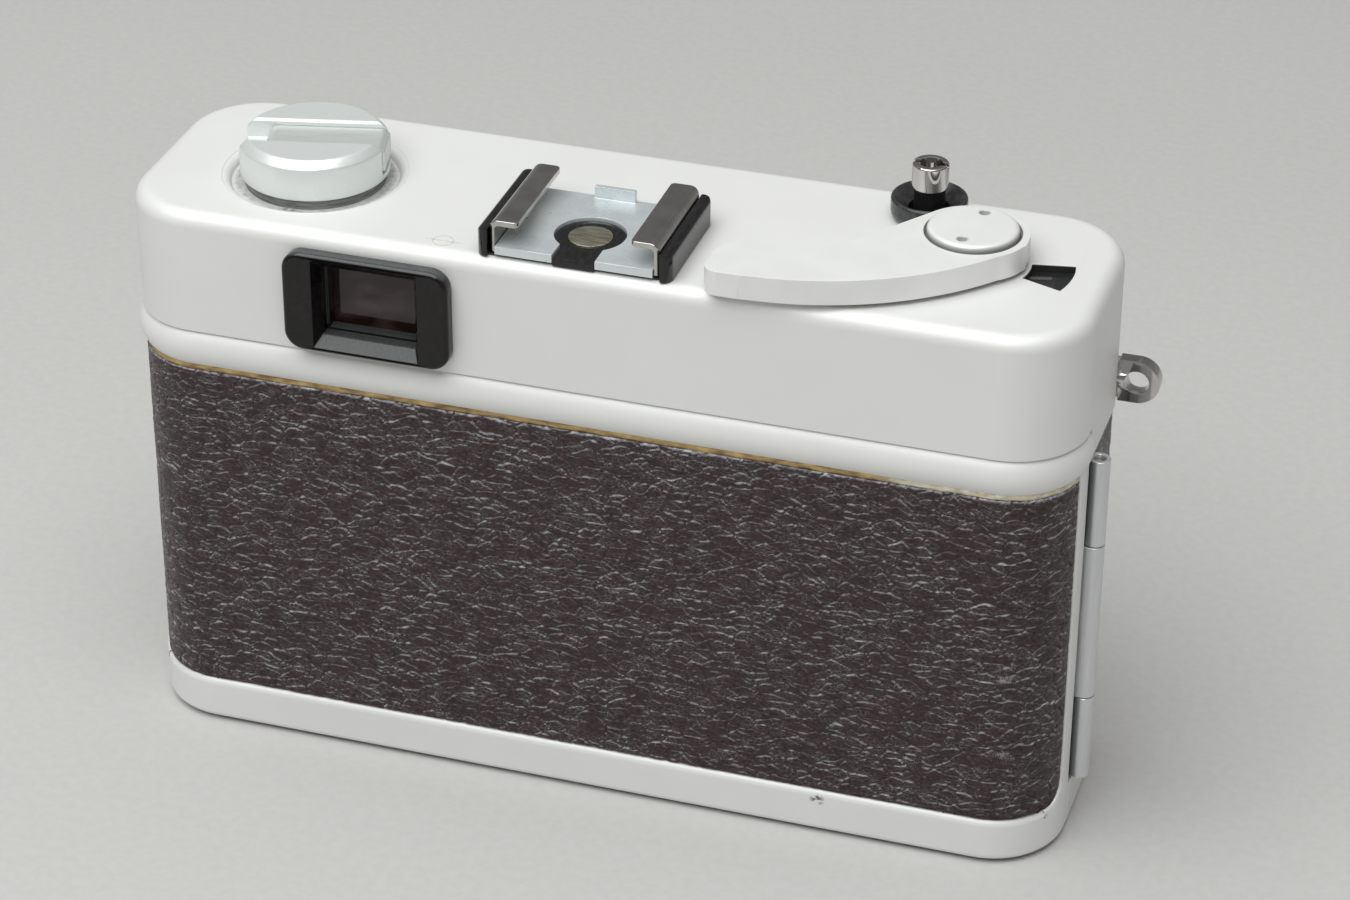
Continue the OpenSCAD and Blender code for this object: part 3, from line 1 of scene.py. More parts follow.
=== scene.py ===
import math

import bmesh
import bpy
import numpy as np
from mathutils import Matrix, Vector


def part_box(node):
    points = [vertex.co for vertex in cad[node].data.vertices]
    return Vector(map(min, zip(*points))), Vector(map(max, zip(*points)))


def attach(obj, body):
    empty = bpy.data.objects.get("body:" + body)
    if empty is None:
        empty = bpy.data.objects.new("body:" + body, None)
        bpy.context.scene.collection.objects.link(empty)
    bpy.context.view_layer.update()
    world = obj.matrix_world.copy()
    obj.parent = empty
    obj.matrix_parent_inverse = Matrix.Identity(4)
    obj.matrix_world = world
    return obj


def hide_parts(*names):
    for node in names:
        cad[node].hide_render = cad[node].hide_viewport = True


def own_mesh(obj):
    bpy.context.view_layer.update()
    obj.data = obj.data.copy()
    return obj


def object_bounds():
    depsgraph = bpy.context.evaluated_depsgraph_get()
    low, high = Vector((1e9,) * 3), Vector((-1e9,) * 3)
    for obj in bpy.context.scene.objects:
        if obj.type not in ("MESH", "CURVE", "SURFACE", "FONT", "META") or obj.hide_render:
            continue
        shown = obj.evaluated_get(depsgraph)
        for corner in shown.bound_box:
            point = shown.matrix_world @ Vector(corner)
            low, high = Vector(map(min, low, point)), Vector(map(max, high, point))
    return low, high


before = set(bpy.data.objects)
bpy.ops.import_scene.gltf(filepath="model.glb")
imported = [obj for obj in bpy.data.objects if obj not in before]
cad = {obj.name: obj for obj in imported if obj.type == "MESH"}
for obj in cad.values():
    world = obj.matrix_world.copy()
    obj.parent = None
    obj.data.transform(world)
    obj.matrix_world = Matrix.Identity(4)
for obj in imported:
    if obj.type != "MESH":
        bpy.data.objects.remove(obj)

cad_low, cad_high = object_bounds()
MM = 0.001


# Studio: a pale paper floor under one wide softbox in a plain grey room. The camera stands at the
# photograph's angle, solved from the body's straight edges.
scene = bpy.context.scene
scene.view_settings.view_transform = "Standard"

view_turn = math.radians(17.393)
view_rise = math.radians(30.561)
view_roll = math.radians(0.279)
toward_eye = Vector((math.sin(view_turn) * math.cos(view_rise),
                     -math.cos(view_turn) * math.cos(view_rise), math.sin(view_rise)))
eye_right = Vector((math.cos(view_turn), math.sin(view_turn), 0.0))
eye_up = toward_eye.cross(eye_right)
eye = bpy.data.cameras.new("eye")
eye.sensor_fit = "HORIZONTAL"
eye.sensor_width = 36.0
eye.lens = 104.26
eye.clip_start = 0.01
camera = bpy.data.objects.new("eye", eye)
camera.matrix_world = (Matrix.Translation(Vector((124.417, -376.917, 272.546)) * MM)
                       @ Matrix((eye_right, eye_up, toward_eye)).transposed().to_4x4()
                       @ Matrix.Rotation(view_roll, 4, "Z"))
scene.collection.objects.link(camera)
scene.camera = camera


def softbox(name, place, aim, size, power):
    """A square area light of this size in metres at place, facing aim."""
    lamp = bpy.data.lights.new(name, "AREA")
    lamp.size = size
    lamp.energy = power
    lamp.color = (0.975, 1.0, 0.99)
    holder = bpy.data.objects.new(name, lamp)
    holder.location = place
    holder.rotation_euler = (Vector(aim) - Vector(place)).to_track_quat("-Z", "Y").to_euler()
    scene.collection.objects.link(holder)


softbox("overhead", (-0.10, -0.30, 0.78), (0.0, 0.0, 0.03), 0.90, 7.9)


def add(material, kind):
    """A new shader node in a material or world."""
    return material.node_tree.nodes.new("ShaderNode" + kind)


def link(material, output, socket):
    """A wire from a node's output to a node's socket."""
    material.node_tree.links.new(output, socket)


room = bpy.data.worlds.new("room")
room.use_nodes = True
scene.world = room
sky = room.node_tree.nodes["Background"]
sky.inputs["Strength"].default_value = 1.0
room_place = add(room, "TexCoord")
room_height = add(room, "SeparateXYZ")
room_tone = add(room, "ValToRGB")
link(room, room_place.outputs["Generated"], room_height.inputs["Vector"])
link(room, room_height.outputs["Z"], room_tone.inputs["Fac"])
link(room, room_tone.outputs["Color"], sky.inputs["Color"])
room_steps = [(0.0, 0.30), (0.22, 0.24), (0.50, 0.19), (0.72, 0.34), (0.90, 0.48)]
warm_green, warm_blue = 0.995, 0.98
tones = room_tone.color_ramp.elements
for at, _ in room_steps[2:]:
    tones.new(at)
for stop, (at, level) in zip(tones, room_steps):
    stop.position = at
    stop.color = (level, level * warm_green, level * warm_blue, 1.0)

floor_half = 2.5
floor_mesh = bpy.data.meshes.new("floor")
floor_mesh.from_pydata([(-floor_half, -floor_half, cad_low.z), (floor_half, -floor_half, cad_low.z),
                        (floor_half, floor_half, cad_low.z), (-floor_half, floor_half, cad_low.z)],
                       [], [(0, 1, 2, 3)])
floor = bpy.data.objects.new("floor", floor_mesh)
scene.collection.objects.link(floor)


def finish(name, colour, metallic, roughness):
    """A material with these plain values on its shader, ready for patterns."""
    material = bpy.data.materials.new(name)
    material.use_nodes = True
    shader = material.node_tree.nodes["Principled BSDF"]
    shader.inputs["Base Color"].default_value = (*colour, 1.0)
    shader.inputs["Metallic"].default_value = metallic
    shader.inputs["Roughness"].default_value = roughness
    return material


def shader_of(material):
    """The material's main shader."""
    return material.node_tree.nodes["Principled BSDF"]


def speckle(material, size, detail=3.0, turn=0.0):
    """Noise fixed to the piece; size is a spot's length in mm along X, Y and Z, turned about Z."""
    place = add(material, "TexCoord")
    grid = add(material, "Mapping")
    grid.vector_type = "TEXTURE"
    grid.inputs["Rotation"].default_value[2] = turn
    grid.inputs["Scale"].default_value = [side * MM for side in size]
    noise = add(material, "TexNoise")
    noise.inputs["Scale"].default_value = 1.0
    noise.inputs["Detail"].default_value = detail
    link(material, place.outputs["Object"], grid.inputs["Vector"])
    link(material, grid.outputs["Vector"], noise.inputs["Vector"])
    return noise.outputs["Fac"]


def graded(material, value, low, high, start=0.35, end=0.65):
    """A number that goes from low to high as value goes from start to end."""
    step = add(material, "MapRange")
    step.inputs["From Min"].default_value = start
    step.inputs["From Max"].default_value = end
    step.inputs["To Min"].default_value = low
    step.inputs["To Max"].default_value = high
    link(material, value, step.inputs["Value"])
    return step.outputs["Result"]


def vary_gloss(material, value, low, high, start=0.35, end=0.65):
    """Roughness between low and high."""
    link(material, graded(material, value, low, high, start, end), shader_of(material).inputs["Roughness"])


def tint(material, value, dark, light, start=0.35, end=0.65):
    """Base colour between dark and light."""
    ramp = add(material, "ValToRGB")
    first, last = ramp.color_ramp.elements
    first.position, last.position = start, end
    first.color, last.color = (*dark, 1.0), (*light, 1.0)
    link(material, value, ramp.inputs["Fac"])
    link(material, ramp.outputs["Color"], shader_of(material).inputs["Base Color"])


def wash(material, amount, colour):
    """Lays colour over the base colour by amount, from 0 to 1."""
    socket = shader_of(material).inputs["Base Color"]
    mix = add(material, "Mix")
    mix.data_type = "RGBA"
    link(material, amount, mix.inputs["Factor"])
    if socket.is_linked:
        link(material, socket.links[0].from_socket, mix.inputs["A"])
    else:
        mix.inputs["A"].default_value = socket.default_value
    mix.inputs["B"].default_value = (*colour, 1.0)
    link(material, mix.outputs["Result"], socket)


def both(material, first, second):
    """The product of two masks."""
    product = add(material, "Math")
    product.operation = "MULTIPLY"
    link(material, first, product.inputs[0])
    link(material, second, product.inputs[1])
    return product.outputs["Value"]


def relief(material, value, depth):
    """Fine bump of this depth in mm, over any bump already there."""
    socket = shader_of(material).inputs["Normal"]
    bump = add(material, "Bump")
    bump.inputs["Distance"].default_value = depth * MM
    link(material, value, bump.inputs["Height"])
    if socket.is_linked:
        link(material, socket.links[0].from_socket, bump.inputs["Normal"])
    link(material, bump.outputs["Normal"], socket)


paper = finish("paper", (0.55, 0.54, 0.53), 0.0, 0.7)
paper_tooth = speckle(paper, (1.2, 1.2, 1.2))
tint(paper, paper_tooth, (0.54, 0.53, 0.52), (0.565, 0.555, 0.545))
relief(paper, paper_tooth, 0.02)
floor_mesh.materials.append(paper)


# Body casting: one die casting with the film chambers in it, black enamelled, with the bridge of the
# film gate screwed to it. Only its chambers and edges show, when the door is open.
def dress(material, *names):
    """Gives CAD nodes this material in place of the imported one."""
    for name in names:
        slots = cad[name].data.materials
        slots.clear()
        slots.append(material)


def soften(radius, *names, segments=2, limit=32.0):
    """Rounds the hard edges of CAD nodes by radius in mm, once their flat faces are whole."""
    for name in names:
        weld = cad[name].modifiers.new("weld", "WELD")
        weld.merge_threshold = 0.002 * MM
        whole = cad[name].modifiers.new("whole_faces", "DECIMATE")
        whole.decimate_type = "DISSOLVE"
        whole.angle_limit = math.radians(0.5)
        bevel = cad[name].modifiers.new("edges", "BEVEL")
        bevel.use_clamp_overlap = False
        bevel.width = radius * MM
        bevel.segments = segments
        bevel.limit_method = "ANGLE"
        bevel.angle_limit = math.radians(limit)
        level = cad[name].modifiers.new("level_faces", "WEIGHTED_NORMAL")
        level.keep_sharp = True


enamel = finish("black_enamel", (0.018, 0.018, 0.02), 0.0, 0.5)
enamel_grain = speckle(enamel, (0.30, 0.30, 0.30))
tint(enamel, enamel_grain, (0.011, 0.011, 0.012), (0.030, 0.030, 0.032))
vary_gloss(enamel, enamel_grain, 0.40, 0.62)
relief(enamel, enamel_grain, 0.025)
dress(enamel, "chassis", "cassette_block", "take_up_block")

gate_steel = finish("film_gate_steel", (0.30, 0.30, 0.31), 1.0, 0.3)
gate_lines = speckle(gate_steel, (6.0, 1.0, 0.06))
tint(gate_steel, gate_lines, (0.20, 0.20, 0.21), (0.42, 0.42, 0.43))
vary_gloss(gate_steel, gate_lines, 0.20, 0.42)
relief(gate_steel, gate_lines, 0.002)
dress(gate_steel, "film_gate")


# Winding works: a steel shaft, idler and film sprocket, brass gears, and the moulded take-up drum, running
# in the casting's bores between the base and the top cover.
shaft_steel = finish("plain_steel", (0.52, 0.52, 0.51), 1.0, 0.3)
steel_lines = speckle(shaft_steel, (0.9, 0.9, 0.05))
tint(shaft_steel, steel_lines, (0.40, 0.40, 0.39), (0.60, 0.60, 0.585))
vary_gloss(shaft_steel, steel_lines, 0.22, 0.42)
relief(shaft_steel, steel_lines, 0.002)
dress(shaft_steel, "wind_shaft", "idler_gear", "film_sprocket")

gear_brass = finish("gear_brass", (0.62, 0.47, 0.20), 1.0, 0.3)
brass_lines = speckle(gear_brass, (0.4, 0.4, 0.05))
tint(gear_brass, brass_lines, (0.50, 0.37, 0.15), (0.68, 0.53, 0.25))
vary_gloss(gear_brass, brass_lines, 0.22, 0.40)
dress(gear_brass, "wind_gear", "sprocket_gear")

drum_plastic = finish("drum_plastic", (0.02, 0.02, 0.021), 0.0, 0.4)
drum_grain = speckle(drum_plastic, (0.2, 0.2, 1.5))
tint(drum_plastic, drum_grain, (0.014, 0.014, 0.015), (0.028, 0.028, 0.029))
vary_gloss(drum_plastic, drum_grain, 0.30, 0.50)
dress(drum_plastic, "take_up_spool")


# Springs: the coil under the shutter button and the bowed leaf behind the pressure plate, of plain steel.
# Each is held at one end; here each only gets a mesh of its own, and the joint, axis and travel listed with
# it are not used.
dress(shaft_steel, "release_spring", "pressure_spring")
for spring, joint, along, held_at, travel in (("release_spring", "release_press", 2, 54.0, 2.0),
                                              ("pressure_spring", "plate_float", 1, -14.15, 0.8)):
    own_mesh(cad[spring])


# Shutter and lens: a black anodised housing and cell, a satin exposure ring and a black focus ring
# with filled-in figures, and coated glasses. The flange under them is plated like the covers.
anodised = finish("black_anodised", (0.02, 0.02, 0.021), 0.6, 0.34)
anodised_grain = speckle(anodised, (0.12, 0.12, 0.12))
tint(anodised, anodised_grain, (0.014, 0.014, 0.015), (0.032, 0.032, 0.034))
vary_gloss(anodised, anodised_grain, 0.27, 0.44)
relief(anodised, anodised_grain, 0.003)
dress(anodised, "shutter_housing", "focus_ring", "lens_cell", "lens_bezel", "shutter_blade_upper",
      "shutter_blade_lower")

turned = finish("turned_alloy", (0.82, 0.82, 0.81), 0.15, 0.36)
turned_grain = speckle(turned, (0.10, 0.10, 0.10))
turned_cloud = speckle(turned, (5.0, 5.0, 5.0))
tint(turned, turned_cloud, (0.80, 0.80, 0.79), (0.84, 0.84, 0.835))
vary_gloss(turned, turned_grain, 0.30, 0.44)
relief(turned, turned_grain, 0.003)
dress(turned, "exposure_ring")
soften(0.10, "exposure_ring", "focus_ring", "lens_cell", "lens_bezel", "shutter_housing")

lens_glass = finish("coated_glass", (0.86, 0.88, 0.96), 0.0, 0.02)
shader_of(lens_glass).inputs["Transmission Weight"].default_value = 1.0
shader_of(lens_glass).inputs["IOR"].default_value = 1.75
shader_of(lens_glass).inputs["Specular Tint"].default_value = (0.42, 0.30, 0.95, 1.0)
lens_dust = speckle(lens_glass, (0.5, 0.5, 0.5), detail=6.0)
vary_gloss(lens_glass, lens_dust, 0.01, 0.06, 0.55, 0.75)
tint(lens_glass, lens_dust, (0.80, 0.80, 0.97), (0.90, 0.90, 0.94))
dress(lens_glass, "front_lens", "rear_lens")


def new_piece(name, vertices, faces, material, body, smooth=True):
    """A mesh in the part's frame that rides a body, with this material."""
    mesh = bpy.data.meshes.new(name)
    mesh.from_pydata(vertices, [], faces)
    mesh.validate()
    if smooth:
        mesh.shade_smooth()
    mesh.materials.append(material)
    piece = bpy.data.objects.new(name, mesh)
    scene.collection.objects.link(piece)
    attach(piece, body)
    return piece


def figures(name, marks, height, ink, body):
    """Filled figures as one piece: marks are (text, place) pairs and height is in mm."""
    size_per_height, raised = 1.4, 0.04
    joined = bmesh.new()
    for text, place in marks:
        outline_curve = bpy.data.curves.new(name, "FONT")
        outline_curve.body = text
        outline_curve.size = height * size_per_height * MM
        outline_curve.extrude = raised * MM
        outline_curve.align_x = "CENTER"
        outline_curve.align_y = "CENTER"
        outline_curve.resolution_u = 3
        pattern = bpy.data.objects.new(name, outline_curve)
        shape = bpy.data.meshes.new_from_object(pattern)
        shape.transform(place)
        joined.from_mesh(shape)
        bpy.data.objects.remove(pattern)
        bpy.data.curves.remove(outline_curve)
        bpy.data.meshes.remove(shape)
    bmesh.ops.remove_doubles(joined, verts=joined.verts, dist=0.001 * MM)
    mesh = bpy.data.meshes.new(name)
    joined.to_mesh(mesh)
    joined.free()
    mesh.materials.append(ink)
    piece = bpy.data.objects.new(name, mesh)
    scene.collection.objects.link(piece)
    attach(piece, body)


def round_the_lens(angle, y, r):
    """Place of a figure on a ring: angle from straight up, top of the figure away from the viewer."""
    turn = math.radians(angle)
    across = Vector((math.cos(turn), 0.0, -math.sin(turn)))
    outward = Vector((math.sin(turn), 0.0, math.cos(turn)))
    axes = Matrix((across, Vector((0, 1, 0)), outward)).transposed().to_4x4()
    return Matrix.Translation(Vector((0.0, y * MM, lens_z)) + outward * r * MM) @ axes


lens_z = sum(c.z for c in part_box("lens_cell")) / 2
black_ink = finish("black_ink", (0.02, 0.02, 0.02), 0.0, 0.5)
tint(black_ink, speckle(black_ink, (0.2, 0.2, 0.2)), (0.012, 0.012, 0.012), (0.035, 0.035, 0.035))
white_ink = finish("white_ink", (0.75, 0.75, 0.72), 0.0, 0.5)
tint(white_ink, speckle(white_ink, (0.2, 0.2, 0.2)), (0.66, 0.66, 0.63), (0.80, 0.80, 0.77))
exposure_low, exposure_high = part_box("exposure_ring")
focus_low, focus_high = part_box("focus_ring")
groove_depth = 0.5
speeds = ["15", "30", "60", "125", "250"]
speed_step, speed_height = 25.0, 1.3
speed_y, speed_r = exposure_low.y / MM + 1.1, exposure_high.x / MM - groove_depth
figures("exposure_figures",
        [(word, round_the_lens((i - (len(speeds) - 1) / 2) * speed_step, speed_y, speed_r))
         for i, word in enumerate(speeds)], speed_height, black_ink, "exposure")
metres = ["1", "1.5", "2", "3", "5", "10"]
metre_step, metre_height = 20.0, 0.95
metre_y, metre_r = focus_low.y / MM + 0.8, focus_high.x / MM - groove_depth
figures("focus_figures",
        [(word, round_the_lens((i - (len(metres) - 1) / 2) * metre_step, metre_y, metre_r))
         for i, word in enumerate(metres)], metre_height, white_ink, "focus")


# Covers: the top cover, the base plate and the lens flange are drawn from brass sheet, sandblasted, satin
# plated to a fine pale grain and held by small screws. The film's plane is marked on the top cover.
def satin_plate(name):
    """The covers' satin plating."""
    plate = finish(name, (0.80, 0.795, 0.785), 0.15, 0.5)
    sand = speckle(plate, (0.13, 0.13, 0.13), detail=2.0)
    cloud = speckle(plate, (11.0, 11.0, 11.0), detail=3.0)
    tint(plate, cloud, (0.785, 0.782, 0.772), (0.805, 0.803, 0.795))
    vary_gloss(plate, sand, 0.40, 0.56)
    relief(plate, sand, 0.007)
    return plate


def flecks(material, place, reach, size):
    """Mask of ragged flecks of this size, out to reach from a place on the piece, all in mm."""
    where = add(material, "TexCoord")
    away = add(material, "VectorMath")
    away.operation = "DISTANCE"
    away.inputs[1].default_value = [side * MM for side in place]
    link(material, where.outputs["Object"], away.inputs[0])
    near = graded(material, away.outputs["Value"], 1.0, 0.0, 0.4 * reach * MM, reach * MM)
    return both(material, near, graded(material, speckle(material, size, detail=5.0), 0.0, 1.0, 0.48, 0.56))


def ring_mask(material, middle, r, half):
    """Mask of a ring of radius r about an upright axis, fading over half on either side, in mm."""
    where = add(material, "TexCoord")
    flat = add(material, "VectorMath")
    flat.operation = "MULTIPLY"
    flat.inputs[1].default_value = (1.0, 1.0, 0.0)
    away = add(material, "VectorMath")
    away.operation = "DISTANCE"
    away.inputs[1].default_value = (middle.x, middle.y, 0.0)
    link(material, where.outputs["Object"], flat.inputs[0])
    link(material, flat.outputs["Vector"], away.inputs[0])
    return both(material, graded(material, away.outputs["Value"], 0.0, 1.0, (r - half) * MM, r * MM),
                graded(material, away.outputs["Value"], 1.0, 0.0, r * MM, (r + half) * MM))


cover_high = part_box("top_cover")[1]
top_z = cover_high.z
satin = satin_plate("satin_plate")
knob_low, knob_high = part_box("rewind_knob")
knob_middle = (knob_low + knob_high) / 2
knob_r = (knob_high.y - knob_low.y) / 2 / MM
# A near-black used both for dirt by the dish and for painted shade in the counter window's cut, round the
# lever cap's foot and in the cap's pin holes.
dark_grime_and_shade = (0.03, 0.031, 0.03)
# Painted shade: a ring on the dish floor round the knob's foot is washed darker as the knob's shadow, broken
# up by speckle.
dish_shade = both(satin, ring_mask(satin, knob_middle, knob_r + 0.2, 1.0),
                  graded(satin, speckle(satin, (0.8, 0.8, 0.8), detail=5.0), 0.25, 0.7))
wash(satin, dish_shade, (0.22, 0.225, 0.22))
dish_nick = (knob_middle.x / MM + 0.2, knob_middle.y / MM - knob_r - 0.7, knob_low.z / MM - 1.2)
wash(satin, flecks(satin, dish_nick, 1.5, (0.6, 0.4, 0.6)), dark_grime_and_shade)
window_low, window_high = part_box("counter_window")
window_middle = (window_low + window_high) / 2
# Painted shade: below the top face, the cover round the counter window is painted near black, so the
# window's cut walls read as shade.
cover_place = add(satin, "TexCoord")
cover_split = add(satin, "SeparateXYZ")
cover_away = add(satin, "VectorMath")
cover_away.operation = "DISTANCE"
cover_away.inputs[1].default_value = window_middle
link(satin, cover_place.outputs["Object"], cover_split.inputs["Vector"])
link(satin, cover_place.outputs["Object"], cover_away.inputs[0])
cut_near, cut_far = 4.5 * MM, 5.0 * MM
cut_low, cut_high = top_z - 0.16 * MM, top_z - 0.08 * MM
wash(satin, both(satin, graded(satin, cover_away.outputs["Value"], 1.0, 0.0, cut_near, cut_far),
                 graded(satin, cover_split.outputs["Z"], 1.0, 0.0, cut_low, cut_high)), dark_grime_and_shade)
dress(satin, "top_cover", "base_plate", "lens_flange")
soften(0.12, "top_cover", "base_plate", "lens_flange")

mark_x, mark_y = -17.0 * MM, -12.9 * MM
mark_r, mark_bar, mark_line = 1.25 * MM, 2.1 * MM, 0.14 * MM
mark_up = 0.015 * MM
ring_steps = 40
mark_points, mark_faces = [], []
for i in range(ring_steps):
    turn = 2 * math.pi * i / ring_steps
    for r in (mark_r - mark_line, mark_r):
        for z in (top_z - mark_up, top_z + mark_up):
            mark_points.append((mark_x + r * math.cos(turn), mark_y + r * math.sin(turn), z))
    a, b = 4 * i, 4 * ((i + 1) % ring_steps)
    mark_faces += [(a + 1, a + 3, b + 3, b + 1), (a, b, b + 2, a + 2), (a + 2, b + 2, b + 3, a + 3),
                   (a, a + 1, b + 1, b)]
base = len(mark_points)
for x in (-mark_bar, mark_bar):
    for y in (-mark_line / 2, mark_line / 2):
        for z in (top_z - mark_up, top_z + mark_up):
            mark_points.append((mark_x + x, mark_y + y, z))
mark_faces += [tuple(base + i for i in f) for f in
               ((0, 1, 3, 2), (4, 6, 7, 5), (0, 4, 5, 1), (2, 3, 7, 6), (1, 5, 7, 3), (0, 2, 6, 4))]
# Painted shade: the mark's darker grey stands in for the shade inside an engraved ring and line.
engraved_shade = finish("engraved_mark_shade", (0.62, 0.62, 0.61), 0.2, 0.6)
tint(engraved_shade, speckle(engraved_shade, (0.25, 0.25, 0.25)), (0.56, 0.56, 0.55), (0.72, 0.72, 0.71))
new_piece("film_plane_mark", mark_points, mark_faces, engraved_shade, "body", smooth=False)


# Leather covering: thin pebbled leathercloth glued round the casting's front and the door. Each pebble
# is about 2 mm wide and 1 mm high, with dust in the creases, painted highlights on the crease walls that
# face up, and rubbed corners.
half_w, half_d = cover_high.x / MM, cover_high.y / MM
corner_r = 9.0
pebble_wide, pebble_high, crease_share = 2.6, 1.05, 0.20
wrinkle_wide, wrinkle_high, wrinkle_share = 1.0, 0.48, 0.26
crease_depth, wrinkle_depth, wave_depth = 0.14, 0.05, 0.03
rolled_depth, rolled_width = 0.12, 0.35
row_slope = 0.06
steep = 0.9
cloth_thickness = 0.45


def outline(s, inset, facing):
    """Points along the body's outline in mm: s runs from the middle of the rear (facing -1) or the front
    (facing 1), positive to the right."""
    run = half_w - corner_r
    r = corner_r - inset
    past = np.abs(s) - run
    turn = np.clip(past / r, 0.0, math.pi / 2)
    beyond = np.maximum(past - r * math.pi / 2, 0.0)
    x = np.sign(s) * (np.minimum(np.abs(s), run) + r * np.sin(turn))
    y = facing * (half_d - corner_r + r * np.cos(turn) - beyond)
    return x, y


def drift(u, v, size, seed):
    """Smooth random field from -1 to 1 with features of this size."""
    cells = (int(np.ptp(u) / size) + 4, int(np.ptp(v) / size) + 4)
    grid = np.random.default_rng(seed).random(cells) * 2 - 1
    a, b = (u - u.min()) / size, (v - v.min()) / size
    i, j = a.astype(int), b.astype(int)
    fa, fb = a - i, b - j
    fa, fb = fa * fa * (3 - 2 * fa), fb * fb * (3 - 2 * fb)
    return ((grid[i, j] * (1 - fa) + grid[i + 1, j] * fa) * (1 - fb)
            + (grid[i, j + 1] * (1 - fa) + grid[i + 1, j + 1] * fa) * fb)


def pebble_edge(u, v, wide, high, seed):
    """How far each point lies from the crease between two pebbles, in pebble widths."""
    cu, cv = u / wide, v / high
    iu, iv = np.floor(cu).astype(int), np.floor(cv).astype(int)
    first_u, first_v = iu.min() - 2, iv.min() - 2
    seats = np.random.default_rng(seed).random((2, np.ptp(iu) + 5, np.ptp(iv) + 5))
    near = np.full(u.shape, 9.0)
    second = near.copy()
    for du in range(-2, 3):
        for dv in range(-2, 3):
            seat_u, seat_v = iu + du, iv + dv
            jitter = seats[:, seat_u - first_u, seat_v - first_v]
            reach = np.hypot(seat_u + jitter[0] - cu, seat_v + jitter[1] - cv)
            second = np.minimum(second, np.maximum(near, reach))
            near = np.minimum(near, reach)
    return second - near


def leather_piece(name, node, s, z, inset, facing, body, seed, hole=None):
    """Pebbled covering over the grid s, z in mm that stands for a CAD node; hole is (x, z, r)."""
    u = s + 0.8 * drift(s, z, 3.1, seed) + 0.25 * drift(s, z, 0.9, seed + 1)
    v = z + row_slope * s + 0.5 * drift(s, z, 2.3, seed + 2) + 0.15 * drift(s, z, 0.8, seed + 3)
    crease = 1 - np.clip(pebble_edge(u, v, pebble_wide, pebble_high, seed + 4) / crease_share, 0, 1)
    wrinkle = 1 - np.clip(pebble_edge(u, v, wrinkle_wide, wrinkle_high, seed + 5) / wrinkle_share, 0, 1)
    crease = crease * crease * (3 - 2 * crease) * (0.75 + 0.25 * drift(s, z, 1.7, seed + 7))
    edge = np.minimum.reduce([s - s.min(1, keepdims=True), s.max(1, keepdims=True) - s,
                              z - z.min(), z.max() - z])
    rolled = np.clip(1 - edge / rolled_width, 0, 1) ** 2
    height = (-crease_depth * crease - wrinkle_depth * wrinkle + wave_depth * drift(s, z, 4.0, seed + 6)
              - rolled_depth * rolled)
    # How steeply each point faces up across a crease; the leather's material paints a highlight there.
    ledge = np.clip(-np.gradient(height, axis=0) / np.gradient(z, axis=0) / steep, 0.0, 1.0)
    x, y = outline(s, inset - height, facing)
    rows, columns = s.shape
    points = np.stack([x, y, z], -1).reshape(-1, 3)
    index = np.arange(rows * columns).reshape(rows, columns)
    quads = np.stack([index[:-1, :-1], index[:-1, 1:], index[1:, 1:], index[1:, :-1]], -1).reshape(-1, 4)
    if facing > 0:
        quads = quads[:, ::-1]
    if hole:
        away = np.hypot(points[:, 0] - hole[0], points[:, 2] - hole[1])
        out = (away < hole[2]) & (points[:, 1] * facing > 0)
        inside = out[quads]
        kept = quads[~inside.all(1)]
        rim = np.unique(kept[out[kept]])
        swell = hole[2] / away[rim]
        points[rim, 0] = hole[0] + (points[rim, 0] - hole[0]) * swell
        points[rim, 2] = hole[1] + (points[rim, 2] - hole[1]) * swell
        used, kept = np.unique(kept, return_inverse=True)
        points, quads = points[used], kept.reshape(-1, 4)
        ledge = ledge.reshape(-1)[used]
    piece = new_piece(name, (points * MM).tolist(), quads.tolist(), leather, body)
    upward = piece.data.attributes.new("ledge", "FLOAT", "POINT")
    upward.data.foreach_set("value", ledge.reshape(-1).astype(np.float32))
    rim_wall = piece.modifiers.new("cut_edge", "SOLIDIFY")
    rim_wall.thickness = cloth_thickness * MM
    rim_wall.offset = -1.0
    rim_wall.use_rim = True
    rim_wall.use_rim_only = True
    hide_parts(node)


leather = finish("pebbled_leather", (0.02, 0.015, 0.015), 0.0, 0.4)
shader_of(leather).inputs["Specular IOR Level"].default_value = 0.36
hide_grain = speckle(leather, (0.5, 0.5, 0.3), detail=6.0)
tint(leather, hide_grain, (0.0160, 0.0064, 0.0072), (0.0500, 0.0262, 0.0292))
ledge_glint = add(leather, "Attribute")
ledge_glint.attribute_name = "ledge"
# Noise that breaks up the dust in the cracks and the scuffs, and also the painted highlights on the crease
# walls.
dust_and_glint = speckle(leather, (2.5, 2.5, 1.2), detail=5.0)
cracks_place = add(leather, "TexCoord")
cracks_grid = add(leather, "Mapping")
cracks_grid.vector_type = "TEXTURE"
cracks_grid.inputs["Scale"].default_value = (0.75 * MM, 0.75 * MM, 0.36 * MM)
cracks = add(leather, "TexVoronoi")
cracks.feature = "DISTANCE_TO_EDGE"
cracks.inputs["Scale"].default_value = 1.0
link(leather, cracks_place.outputs["Object"], cracks_grid.inputs["Vector"])
link(leather, cracks_grid.outputs["Vector"], cracks.inputs["Vector"])
wash(leather, both(leather, graded(leather, cracks.outputs["Distance"], 1.0, 0.0, 0.0, 0.07),
                   graded(leather, dust_and_glint, 0.0, 0.7, 0.42, 0.62)), (0.22, 0.215, 0.225))
